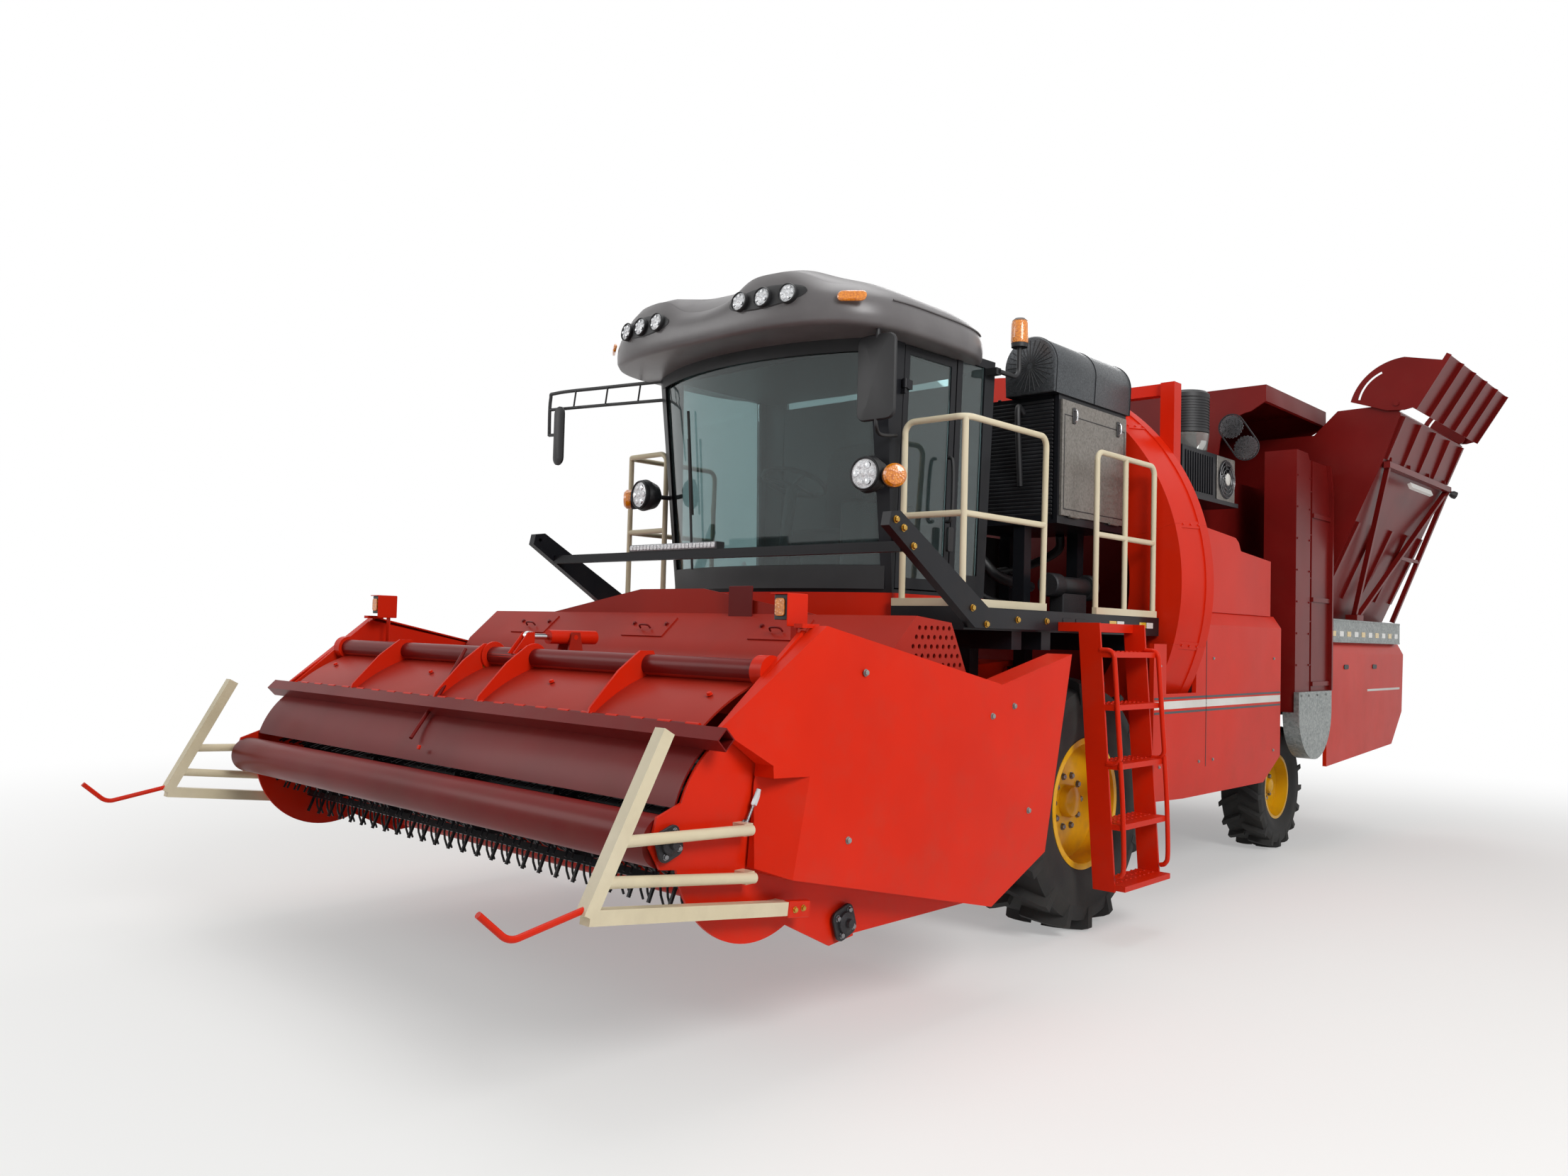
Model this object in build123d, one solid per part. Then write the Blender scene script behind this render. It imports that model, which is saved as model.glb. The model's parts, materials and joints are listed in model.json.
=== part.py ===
from build123d import *
import os
from math import atan2, cos, degrees, hypot, radians, sin, sqrt

# Self-propelled pepper harvester, parked on its four wheels with the header carried clear of the ground.
# Millimetres. X = 0 is the centre plane and +X the driver's left, where the ladder is. Y = 0 is over the
# front axle and -Y is forward. Z = 0 is the ground. At the end every piece moves together, so that the
# origin lies on the ground in the middle of the footprint.

# Clearances
SEAT = 0.3
RUN = 6.0

# Wheels
WHEELBASE = 3660
FRONT_TRACK = 2514
FRONT_TYRE_RADIUS = 720
FRONT_TYRE_WIDTH = 460
FRONT_RIM_RADIUS = 374
FRONT_RIM_WIDTH = 394
FRONT_DISC_OFFSET = 60
REAR_TRACK = 2160
REAR_TYRE_RADIUS = 500
REAR_TYRE_WIDTH = 320
REAR_RIM_RADIUS = 272
REAR_RIM_WIDTH = 262
REAR_DISC_OFFSET = 26
RIM_FLANGE = 12
RIM_LIP = 20
RIM_WALL = 14
RIM_DISC = 14

# Axles
AXLE_HALF_HEIGHT = 105
AXLE_HALF_DEPTH = 110
AXLE_BEAM_HALF = 700
FINAL_DRIVE_RADIUS = 190
FRONT_HUB_RADIUS = 130
REAR_BEAM_HALF_HEIGHT = 60
REAR_BEAM_HALF_DEPTH = 50
KINGPIN_HALF_TRACK = 1000
KINGPIN_RADIUS = 25
KINGPIN_SLEEVE_RADIUS = 50
KINGPIN_SLEEVE_HALF = 95
KNUCKLE_PLATE = 18
KNUCKLE_WEB = 20
REAR_HUB_RADIUS = 84

# Chassis
RAIL_INNER = 430
RAIL_OUTER = 520
RAIL_BOTTOM = 1010
RAIL_TOP = 1190
RAIL_FRONT = -700
RAIL_REAR = 6150
CROSS_BEAM = 100
DECK_BOTTOM = 1690
PLATFORM_HALF_WIDTH = 1370

# Header
HEADER_PIVOT_Y = 850
HEADER_PIVOT_Z = 1400
END_PLATE_OUTER = 1700
END_PLATE = 12
DRUM_Y = -2970
DRUM_Z = 910
DRUM_END_RADIUS = 405
TINE_TIP_RADIUS = 345
DRUM_TUBE_RADIUS = 140
COVER_RADIUS = 410
COVER_SHEET = 8
TUBE_Y = -3240
TUBE_Z = 1270
TUBE_SIDE = 60
TUBE_WALL = 5
TUBE_HALF = 1800
PIPE_Y = -2900
PIPE_Z = 1500
PIPE_RADIUS = 45
PIPE_HALF = 1580
ROLLER_Y = -3420
ROLLER_Z = 920
ROLLER_RADIUS = 90
BELT_ROLLER_Y = -2470
BELT_ROLLER_Z = 500
BELT_ROLLER_RADIUS = 60
HEADER_REAR = -1430
HEADER_FLOOR = 440
SHIELD_INNER = 1712
SHIELD_OUTER = 1850
SHIELD_SHEET = 8
DIVIDER_X = 1760
DIVIDER_TUBE = 50
FEEDER_HALF = 390
FEEDER_WALL = 16
PIVOT_PIN_RADIUS = 30
LIFT_CYLINDER_X = 620

# Cab
CAB_FLOOR = 1880
CAB_TOP = 3290
CAB_WALL = 45
GLASS = 6
ROOF_HALF_WIDTH = 1070
ROOF_TOP = 3670

# Lift wheel housing
LIFT_RADIUS = 1510
LIFT_INNER_RADIUS = 1160
LIFT_SEGMENTS = 12
LIFT_END_WALL = 12
LIFT_REAR_RADIUS = 1562
LIFT_Z = 2030
LIFT_FRONT = 1100
LIFT_REAR = 1480

# Body
BODY_HALF_WIDTH = 1450
PANEL_SHEET = 30
PANEL_TOP = 1870
PANEL_BOTTOM = 620
BIN_FRONT = 4200
BIN_REAR = 6200
BIN_WALL = 20
BIN_FLOOR = 1900
DECK_TOP = 1890
RADIATOR_BOTTOM = 2360


def block(x, y, z):
    """Box between the two values given for each direction."""
    spans = (x, y, z)
    middle = [(low + high) / 2 for low, high in spans]
    return Pos(*middle) * Box(*[abs(high - low) for low, high in spans])


def prism(outline, axis, start, end):
    """Outline drawn square to an axis and extruded from start to end.

    Points are (y, z) along x, (x, z) along y and (x, y) along z.
    """
    low, high = min(start, end), max(start, end)
    planes = {
        "x": Plane(origin=(low, 0, 0), x_dir=(0, 1, 0), z_dir=(1, 0, 0)),
        "y": Plane(origin=(0, high, 0), x_dir=(1, 0, 0), z_dir=(0, -1, 0)),
        "z": Plane(origin=(0, 0, low)),
    }
    face = Polygon(*outline, align=None) if isinstance(outline, list) else outline
    return extrude(planes[axis] * face, amount=high - low, dir=planes[axis].z_dir)


def rod(start, end, radius):
    """Round bar between two points."""
    a, b = Vector(*start), Vector(*end)
    upright = (Align.CENTER, Align.CENTER, Align.MIN)
    return Plane(origin=a, z_dir=b - a) * Cylinder(radius, (b - a).length, align=upright)


def bar(start, end, width, depth, side=(1, 0, 0)):
    """Flat or square bar between two points, its width along the side direction."""
    a, b = Vector(*start), Vector(*end)
    upright = (Align.CENTER, Align.CENTER, Align.MIN)
    return Plane(origin=a, x_dir=side, z_dir=b - a) * Box(width, depth, (b - a).length, align=upright)


def bent_tube(points, radius, bend):
    """Round tube along straight runs joined by equal bends."""
    path = FilletPolyline(*points, radius=bend)
    return sweep(Plane(origin=path @ 0, z_dir=path % 0) * Circle(radius), path=path)


def turned_x(profile, y, z):
    """Profile of (x, radius) points turned about the line along X through y, z."""
    return Pos(0, y, z) * revolve(Polygon(*profile, align=None), Axis.X)


def turned_y(profile, x, z):
    """Profile of (y, radius) points turned about the line along Y through x, z."""
    face = Polygon(*[(radius, y) for y, radius in profile], align=None)
    return Pos(x, 0, z) * revolve(face, Axis.Y)


def turned_z(profile, x, y):
    """Profile of (z, radius) points turned about the upright line through x, y."""
    face = Plane.XZ * Polygon(*[(radius, z) for z, radius in profile], align=None)
    return Pos(x, y, 0) * revolve(face, Axis.Z)


def other_side(piece):
    """The same piece on the driver's right."""
    return mirror(piece, about=Plane.YZ)


def both_sides(piece):
    """The piece and its mirror image, in one node."""
    return piece + other_side(piece)


# Wheels: tyre and rim about the X axis, with the outer side towards +X
def lug(centre_x, radius, height, length, slant, width):
    """One tread lug on the tyre's top, on the outer half, running back from the middle to the shoulder."""
    lean = length * slant
    outline = [(8, -lean / 2), (8, -lean / 2 + width), (8 + length, lean / 2 + width * 0.8), (8 + length, lean / 2)]
    reach = lean / 2 + width
    tip = sqrt(radius ** 2 - reach ** 2)
    bar_piece = prism(outline, "z", radius - height - LUG_ROOT, tip)
    return Pos(centre_x, 0, 0) * bar_piece


def sidewall(radius, width, rim_radius, rim_width):
    """Bead corner (x, radius) and widest corner of a tyre on its rim, and how far x grows per unit of radius."""
    bead = rim_width / 2 - RIM_FLANGE - SEAT
    seat = rim_radius - RIM_LIP + SEAT
    widest = rim_radius + (radius - rim_radius) * 0.42
    return (bead, seat), (width / 2, widest), (width / 2 - bead) / (widest - seat)


def tyre(centre_x, y, radius, width, rim_radius, rim_width, lug_height, lug_count):
    """Carcass and its two rows of tread lugs, the rows half a pitch apart."""
    half = width / 2
    crown = radius - lug_height
    bead, widest, _ = sidewall(radius, width, rim_radius, rim_width)
    side = [bead, widest, (half * 0.98, crown)]
    profile = side + [(-x, r) for x, r in reversed(side)]
    carcass = turned_x([(x, r) for x, r in profile], 0, 0)
    first = lug(0, radius, lug_height, half * 0.9, LUG_SLANT, LUG_WIDTH)
    second = mirror(first, about=Plane.YZ)
    lugs = []
    for step in range(lug_count):
        angle = 360 / lug_count * step
        lugs += [Rot(angle, 0, 0) * first, Rot(angle + 180 / lug_count, 0, 0) * second]
    return Pos(centre_x, y, radius) * (carcass + lugs)


LUG_SLANT = 0.55
LUG_WIDTH = 52
LUG_ROOT = 3
FRONT_LUG_HEIGHT = 34
REAR_LUG_HEIGHT = 24
LUGS_PER_ROW = 11


def rim(centre_x, y, axle_z, width, rim_radius, rim_width, disc_offset):
    """Rim barrel with flanges that lean as the tyre's sides do, and its disc."""
    half = rim_width / 2
    lean = RIM_LIP * sidewall(axle_z, width, rim_radius, rim_width)[2] + SEAT
    inner = half - RIM_FLANGE
    seat = rim_radius - RIM_LIP
    inside = seat - RIM_WALL
    profile = [
        (-half, inside), (-half, rim_radius), (-inner - lean, rim_radius),
        (-inner, seat), (inner, seat), (inner + lean, rim_radius),
        (half, rim_radius), (half, inside), (disc_offset + RIM_DISC, inside - 10),
        (disc_offset + RIM_DISC, 0), (disc_offset, 0), (disc_offset, inside - 10),
    ]
    return turned_x([(centre_x + x, r) for x, r in profile], y, axle_z)


FRONT_X = FRONT_TRACK / 2
REAR_X = REAR_TRACK / 2
FRONT_HUB_FACE = FRONT_X + FRONT_DISC_OFFSET - SEAT
REAR_HUB_FACE = REAR_X + REAR_DISC_OFFSET - SEAT


def front_axle():
    """Drive axle housing with its final drives, hub faces and the pads under the rails."""
    z = FRONT_TYRE_RADIUS
    depth, height = AXLE_HALF_DEPTH, AXLE_HALF_HEIGHT
    housing = block((-AXLE_BEAM_HALF, AXLE_BEAM_HALF), (-depth, depth), (z - height, z + height))
    inboard = FRONT_X - FRONT_TYRE_WIDTH / 2 - 90
    final_drive = turned_x(
        [(AXLE_BEAM_HALF, 0), (AXLE_BEAM_HALF, 110), (inboard - 60, 110), (inboard, FINAL_DRIVE_RADIUS),
         (FRONT_X - 40, FINAL_DRIVE_RADIUS), (FRONT_X - 20, FRONT_HUB_RADIUS),
         (FRONT_HUB_FACE, FRONT_HUB_RADIUS), (FRONT_HUB_FACE, 0)], 0, z)
    pads = block((RAIL_INNER, RAIL_OUTER), (-depth, depth), (z + height - 1, RAIL_BOTTOM))
    nose = turned_y([(-depth - 60, 0), (-depth - 60, 60), (-depth, height - 10), (-depth, 0)], 0, z)
    return housing + both_sides(final_drive) + both_sides(pads) + nose + lift_brackets()


def rear_axle():
    """Steering axle beam, hung at its middle and bored at each end for a kingpin."""
    y, z = WHEELBASE, REAR_TYRE_RADIUS
    sleeve = Pos(KINGPIN_HALF_TRACK, y, z) * Cylinder(KINGPIN_SLEEVE_RADIUS, 2 * KINGPIN_SLEEVE_HALF)
    bore = Pos(KINGPIN_HALF_TRACK, y, z) * Cylinder(KINGPIN_RADIUS, 4 * KINGPIN_SLEEVE_HALF)
    beam = prism(
        [(-KINGPIN_HALF_TRACK, z - 50), (-500, z - REAR_BEAM_HALF_HEIGHT - 20),
         (500, z - REAR_BEAM_HALF_HEIGHT - 20), (KINGPIN_HALF_TRACK, z - 50),
         (KINGPIN_HALF_TRACK, z + 50), (200, z + REAR_BEAM_HALF_HEIGHT + 60),
         (-200, z + REAR_BEAM_HALF_HEIGHT + 60), (-KINGPIN_HALF_TRACK, z + 50)],
        "y", y - REAR_BEAM_HALF_DEPTH, y + REAR_BEAM_HALF_DEPTH)
    saddle = block((-200, 200), (y - 90, y + 90), (z + REAR_BEAM_HALF_HEIGHT + 40, RAIL_BOTTOM))
    spread = block((-RAIL_OUTER, RAIL_OUTER), (y - 90, y + 90), (RAIL_BOTTOM - 70, RAIL_BOTTOM))
    return beam + both_sides(sleeve) + saddle + spread - both_sides(bore)


def knuckle():
    """Left steering knuckle: kingpin, fork plates, web and hub."""
    x, y, z = KINGPIN_HALF_TRACK, WHEELBASE, REAR_TYRE_RADIUS
    low = KINGPIN_SLEEVE_HALF + SEAT
    high = low + KNUCKLE_PLATE
    web_in = x + KINGPIN_SLEEVE_RADIUS + RUN
    web_out = web_in + KNUCKLE_WEB
    pin = Pos(x, y, z) * Cylinder(KINGPIN_RADIUS - SEAT, 2 * high)
    plates = Part()
    for low_z in (z + low, z - high):
        plates += Pos(x, y, low_z + KNUCKLE_PLATE / 2) * Cylinder(KINGPIN_SLEEVE_RADIUS, KNUCKLE_PLATE)
        plates += block((x, web_out), (y - 42, y + 42), (low_z, low_z + KNUCKLE_PLATE))
    web = block((web_in, web_out), (y - 42, y + 42), (z - high, z + high))
    hub = turned_x([(web_out - 1, 0), (web_out - 1, REAR_HUB_RADIUS), (REAR_HUB_FACE, REAR_HUB_RADIUS),
                    (REAR_HUB_FACE, 0)], y, z)
    return pin + plates + web + hub


# Chassis
DECK_BEAMS = (-660, -350, 190, 860)
BODY_BEAMS = (2500, 3080)
REAR_CROSS_BEAMS = (BIN_FRONT + 60, BIN_REAR - 160)
PANEL_INNER = BODY_HALF_WIDTH - PANEL_SHEET


def chassis_frame():
    """Ladder frame: two side rails, the low cross beams, the outriggers and the drawbar plate."""
    frame = both_sides(block((RAIL_INNER, RAIL_OUTER), (RAIL_FRONT, RAIL_REAR), (RAIL_BOTTOM, RAIL_TOP)))
    for y in BODY_BEAMS:
        frame += block((-PANEL_INNER + SEAT, PANEL_INNER - SEAT), (y - CROSS_BEAM, y),
                       (RAIL_TOP - CROSS_BEAM, RAIL_TOP))
    for y in (1900, 4900):
        frame += block((-RAIL_INNER - 1, RAIL_INNER + 1), (y, y + CROSS_BEAM), (RAIL_BOTTOM + 20, RAIL_TOP - 20))
    # Brackets that hold the lift wheel housing from inside
    bracket = block((RAIL_OUTER - 1, 900), (LIFT_FRONT + 120, LIFT_FRONT + 240), (RAIL_BOTTOM + 40, RAIL_TOP))
    inside = rod((0, LIFT_FRONT, LIFT_Z), (0, LIFT_REAR, LIFT_Z), LIFT_INNER_RADIUS - SEAT)
    frame += both_sides(bracket & inside)
    # Outrigger that carries the side elevator
    frame += block((RAIL_OUTER - 1, TOWER_INNER - SEAT), (3880, 3980), (RAIL_TOP - 100, RAIL_TOP - 10))
    # Drawbar plate under the rear cross member, with its upright pin hole
    tail = block((-RAIL_INNER - 1, RAIL_INNER + 1), (RAIL_REAR - 120, RAIL_REAR), (RAIL_BOTTOM - 60, RAIL_TOP))
    plate = block((-90, 90), (RAIL_REAR - 60, RAIL_REAR + 110), (RAIL_BOTTOM - 40, RAIL_BOTTOM - 10))
    hole = Pos(0, HITCH_Y, RAIL_BOTTOM - 25) * Cylinder(HITCH_BORE_RADIUS, 80)
    return frame + tail + plate - hole


def deck_supports():
    """Trestles and ears that stand on the rails: cab and platform beams, bin beams, header pivot, radiator stand."""
    stand = RAIL_TOP + SEAT
    pieces = []
    for y in DECK_BEAMS:
        beam_y = (y, y + CROSS_BEAM)
        beam = block((-PLATFORM_HALF_WIDTH + 20, PLATFORM_HALF_WIDTH - 20), beam_y,
                     (DECK_BOTTOM - CROSS_BEAM, DECK_BOTTOM))
        legs = both_sides(block((RAIL_INNER, RAIL_OUTER), beam_y, (stand, DECK_BOTTOM - CROSS_BEAM + 1)))
        pieces.append(beam + legs)
    for y in REAR_CROSS_BEAMS:
        beam_y = (y, y + CROSS_BEAM)
        beam = block((-PANEL_INNER + SEAT, PANEL_INNER - SEAT), beam_y,
                     (DECK_BOTTOM - CROSS_BEAM - 120, DECK_BOTTOM - 120))
        beam += block((-1350, 1350), beam_y, (DECK_BOTTOM - 121, DECK_BOTTOM))
        legs = both_sides(block((RAIL_INNER, RAIL_OUTER), beam_y, (stand, DECK_BOTTOM - 190)))
        pieces.append(beam + legs)
    ear = prism([(HEADER_PIVOT_Y - 110, stand), (HEADER_PIVOT_Y - 60, HEADER_PIVOT_Z + 60),
                 (HEADER_PIVOT_Y + 60, HEADER_PIVOT_Z + 60), (HEADER_PIVOT_Y + 110, stand)],
                "x", RAIL_INNER, RAIL_INNER + 24)
    pin = rod((FEEDER_HALF - 30, HEADER_PIVOT_Y, HEADER_PIVOT_Z),
              (RAIL_INNER + 24, HEADER_PIVOT_Y, HEADER_PIVOT_Z), PIVOT_PIN_RADIUS)
    pieces += [ear + pin, other_side(ear + pin)]
    for x in (300, 820):
        for y in (200, 870):
            pieces.append(block((x, x + 80), (y, y + 80), (DECK_BOTTOM + SEAT, RADIATOR_BOTTOM - SEAT)))
    return pieces[0] + pieces[1:]


HITCH_Y = RAIL_REAR + 60
HITCH_BORE_RADIUS = 16

# Header, built at its carried height and swung about the feeder pivot
BARREL_EYE = (-260, 640)
ROD_EYE = (-1350, 560)
CYLINDER_EYE_RADIUS = 42
BARREL_RADIUS = 42
PISTON_ROD_RADIUS = 22
EYE_PIN_RADIUS = 16
OPEN_EYE_RADIUS = 31
OPEN_EYE_OUTSIDE = 48


def header_frame():
    """End plates, belt floor, rear wall and beams between them."""
    inner = END_PLATE_OUTER - END_PLATE
    outline = [(-3140, 1180), (-3185, 1290), (-2740, 1660), (-1560, 1430), (HEADER_REAR, 1400),
               (HEADER_REAR, HEADER_FLOOR), (BELT_ROLLER_Y - 10, HEADER_FLOOR), (-2970, 700)]
    plate = prism(outline, "x", inner, END_PLATE_OUTER)
    plate += rod((inner, DRUM_Y, DRUM_Z), (END_PLATE_OUTER, DRUM_Y, DRUM_Z), DRUM_END_RADIUS)
    toe = prism([(ROLLER_Y - 70, ROLLER_Z - 10), (ROLLER_Y - 40, ROLLER_Z + 90), (-3150, 1120),
                 (-3000, 900), (-3200, 800), (ROLLER_Y - 20, ROLLER_Z - 90)], "x", inner, END_PLATE_OUTER)
    heel = prism([(-2700, 640), (BELT_ROLLER_Y - 20, 560), (BELT_ROLLER_Y + 70, 540),
                  (BELT_ROLLER_Y + 80, 430), (BELT_ROLLER_Y - 70, 415), (-2840, 560)],
                 "x", inner, END_PLATE_OUTER)
    edge = bar((END_PLATE_OUTER - 1, -3170, 1283), (END_PLATE_OUTER - 1, -2745, 1637), 22, 40)
    plate += edge
    shafts = [(ROLLER_Y, ROLLER_Z, 26), (DRUM_Y, DRUM_Z, 34 + SEAT)]
    for y, z, radius in shafts:
        hole = rod((inner - 5, y, z), (END_PLATE_OUTER + 5, y, z), radius)
        plate, toe = plate - hole, toe - hole
    ends = both_sides(plate + toe + heel)
    wall = block((-inner - 1, inner + 1), (HEADER_REAR - 12, HEADER_REAR), (HEADER_FLOOR, 1400))
    mouth = block((-FEEDER_HALF + 40, FEEDER_HALF - 40), (HEADER_REAR - 40, HEADER_REAR + 40), (600, 1180))
    floor = block((-inner - 1, inner + 1), (BELT_ROLLER_Y + BELT_ROLLER_RADIUS + RUN, HEADER_REAR), (480, 492))
    low_beam = block((-inner - 1, inner + 1), (HEADER_REAR - 130, HEADER_REAR - 30), (HEADER_FLOOR, 490))
    top_beam = block((-inner - 1, inner + 1), (HEADER_REAR - 110, HEADER_REAR), (1300, 1400))
    bearing = rod((BEARING_FACE, PIPE_Y, PIPE_Z), (inner + 1, PIPE_Y, PIPE_Z), PIPE_RADIUS + 18)
    bearing -= rod((inner - 70, PIPE_Y, PIPE_Z), (inner, PIPE_Y, PIPE_Z), PIPE_RADIUS + SEAT)
    roller = rod((-inner - 1, BELT_ROLLER_Y, BELT_ROLLER_Z), (inner + 1, BELT_ROLLER_Y, BELT_ROLLER_Z),
                 BELT_ROLLER_RADIUS)
    return ends + (wall - mouth) + floor + low_beam + top_beam + both_sides(bearing + lift_lugs()) + roller


def lift_lugs():
    """Ears and pin behind the header's rear wall that take one lift cylinder's rod eye."""
    y, z = ROD_EYE
    x = LIFT_CYLINDER_X
    ears = rod((x - 42, y, z), (x + 42, y, z), EYE_PIN_RADIUS)
    for at in (x - 42, x + 30):
        ears += prism([(HEADER_REAR - 1, z - 70), (y + 30, z - 50), (y + 45, z + 36), (HEADER_REAR - 1, z + 120)],
                      "x", at, at + 12)
    return ears


def feeder_house():
    """Open duct from the header's mouth up to the pivot under the cab."""
    outer = [(HEADER_REAR + SEAT, 560), (HEADER_REAR + SEAT, 1240), (-900, 1300), (0, 1440), (940, 1500),
             (940, 1150), (0, 950), (-900, 760)]
    inner = [(HEADER_REAR - 10, 600), (HEADER_REAR - 10, 1200), (-906, 1260), (0, 1400), (960, 1460),
             (960, 1190), (0, 990), (-906, 800)]
    duct = prism(outer, "x", -FEEDER_HALF, FEEDER_HALF)
    duct -= prism(inner, "x", -FEEDER_HALF + FEEDER_WALL, FEEDER_HALF - FEEDER_WALL)
    bore = rod((FEEDER_HALF - 60, HEADER_PIVOT_Y, HEADER_PIVOT_Z),
               (FEEDER_HALF + 60, HEADER_PIVOT_Y, HEADER_PIVOT_Z), PIVOT_PIN_RADIUS + SEAT)
    boss = rod((FEEDER_HALF - 1, HEADER_PIVOT_Y, HEADER_PIVOT_Z),
               (RAIL_INNER - 2, HEADER_PIVOT_Y, HEADER_PIVOT_Z), 60)
    flange = block((-FEEDER_HALF - 50, FEEDER_HALF + 50), (HEADER_REAR + SEAT, HEADER_REAR + 16), (540, 1290))
    flange -= block((-FEEDER_HALF + 40, FEEDER_HALF - 40), (HEADER_REAR - 5, HEADER_REAR + 20), (600, 1180))
    return duct + both_sides(boss) + flange - both_sides(bore)


def drum_cover():
    """Front square tube, curved cover over the tines, arched top sheet, pivot pipe and ribs."""
    half = TUBE_SIDE / 2
    tube = Pos(0, TUBE_Y, TUBE_Z) * Rot(45, 0, 0) * (
        Box(2 * TUBE_HALF, TUBE_SIDE, TUBE_SIDE)
        - Box(3 * TUBE_HALF, 2 * (half - TUBE_WALL), 2 * (half - TUBE_WALL)))
    outer = COVER_RADIUS + COVER_SHEET
    inner = END_PLATE_OUTER - END_PLATE - RUN
    ring = rod((-inner, DRUM_Y, DRUM_Z), (inner, DRUM_Y, DRUM_Z), outer)
    ring -= rod((-TUBE_HALF, DRUM_Y, DRUM_Z), (TUBE_HALF, DRUM_Y, DRUM_Z), COVER_RADIUS)
    wedge = [(DRUM_Y, DRUM_Z)]
    for angle in (127, 145, 163):
        wedge.append((DRUM_Y + 700 * cos(radians(angle)), DRUM_Z + 700 * sin(radians(angle))))
    cover = ring & prism(wedge, "x", -2 * TUBE_HALF, 2 * TUBE_HALF)
    arch = ThreePointArc((-3212, 1284), (-3060, 1392), (-2895, 1462))
    under = ThreePointArc((-2892, 1454), (-3057, 1384), (-3212, 1274))
    rear, front = Line((-2895, 1462), (-2892, 1454)), Line((-3212, 1274), (-3212, 1284))
    sheet = prism(make_face([*arch.edges(), *rear.edges(), *under.edges(), *front.edges()]), "x", -BEARING_FACE + RUN, BEARING_FACE - RUN)
    pipe = rod((-inner, PIPE_Y, PIPE_Z), (inner, PIPE_Y, PIPE_Z), PIPE_RADIUS)
    ribs = Part()
    for x in RIB_PLACES:
        ribs += prism([(-3222, 1280), (-3205, 1330), (-3060, 1480), (-2950, 1560), (-2880, 1560), (-2845, 1500),
                       (-2900, 1455), (-3060, 1384)], "x", x - RIB / 2, x + RIB / 2)
    y, z = COVER_EYE
    lever = [(PIPE_Y - 60, PIPE_Z + 20), (y - 22, z + 18), (y + 16, z + 22), (PIPE_Y + 55, PIPE_Z)]
    for side in (-1, 1):
        middle = COVER_CYLINDER_X + side * (COVER_EYE_HALF + RUN + 4)
        ribs += prism(lever, "x", middle - 4, middle + 4)
    reach = COVER_EYE_HALF + RUN + 5
    pin = rod((COVER_CYLINDER_X - reach, y, z), (COVER_CYLINDER_X + reach, y, z), COVER_PIN_RADIUS)
    return tube + cover + sheet + pipe + ribs + pin


BEARING_FACE = 1630
COVER_CYLINDER_X = 60
COVER_EYE = (-2860, 1600)
COVER_TRUNNION = (-2620, 1600)
COVER_BARREL_RADIUS = 34
COVER_ROD_RADIUS = 14
COVER_EYE_HALF = 12
COVER_PIN_RADIUS = 10


def cover_barrel():
    """Barrel of the cover cylinder with its two trunnion stubs."""
    x, (y, z) = COVER_CYLINDER_X, COVER_TRUNNION
    barrel = rod((x, y - 130, z), (x, y + 150, z), COVER_BARREL_RADIUS)
    barrel -= rod((x, y - 140, z), (x, y + 90, z), COVER_ROD_RADIUS + SEAT)
    reach = COVER_BARREL_RADIUS + RUN + 10
    stubs = rod((x - reach, y, z), (x + reach, y, z), 12) - rod((x, y - 40, z), (x, y + 40, z), COVER_ROD_RADIUS + 4)
    return barrel + stubs


def cover_rod():
    """Rod of the cover cylinder with its eye on the lever's pin."""
    x, (y, z) = COVER_CYLINDER_X, COVER_EYE
    piston = rod((x, y + 12, z), (x, y + 250, z), COVER_ROD_RADIUS)
    eye = rod((x - COVER_EYE_HALF, y, z), (x + COVER_EYE_HALF, y, z), 26)
    return piston + eye - rod((x - 40, y, z), (x + 40, y, z), COVER_PIN_RADIUS + 4)


RIB_PLACES = (-980, -180, 180, 980)
RIB = 12


GUARD_HOLE_RADIUS = 11


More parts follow.
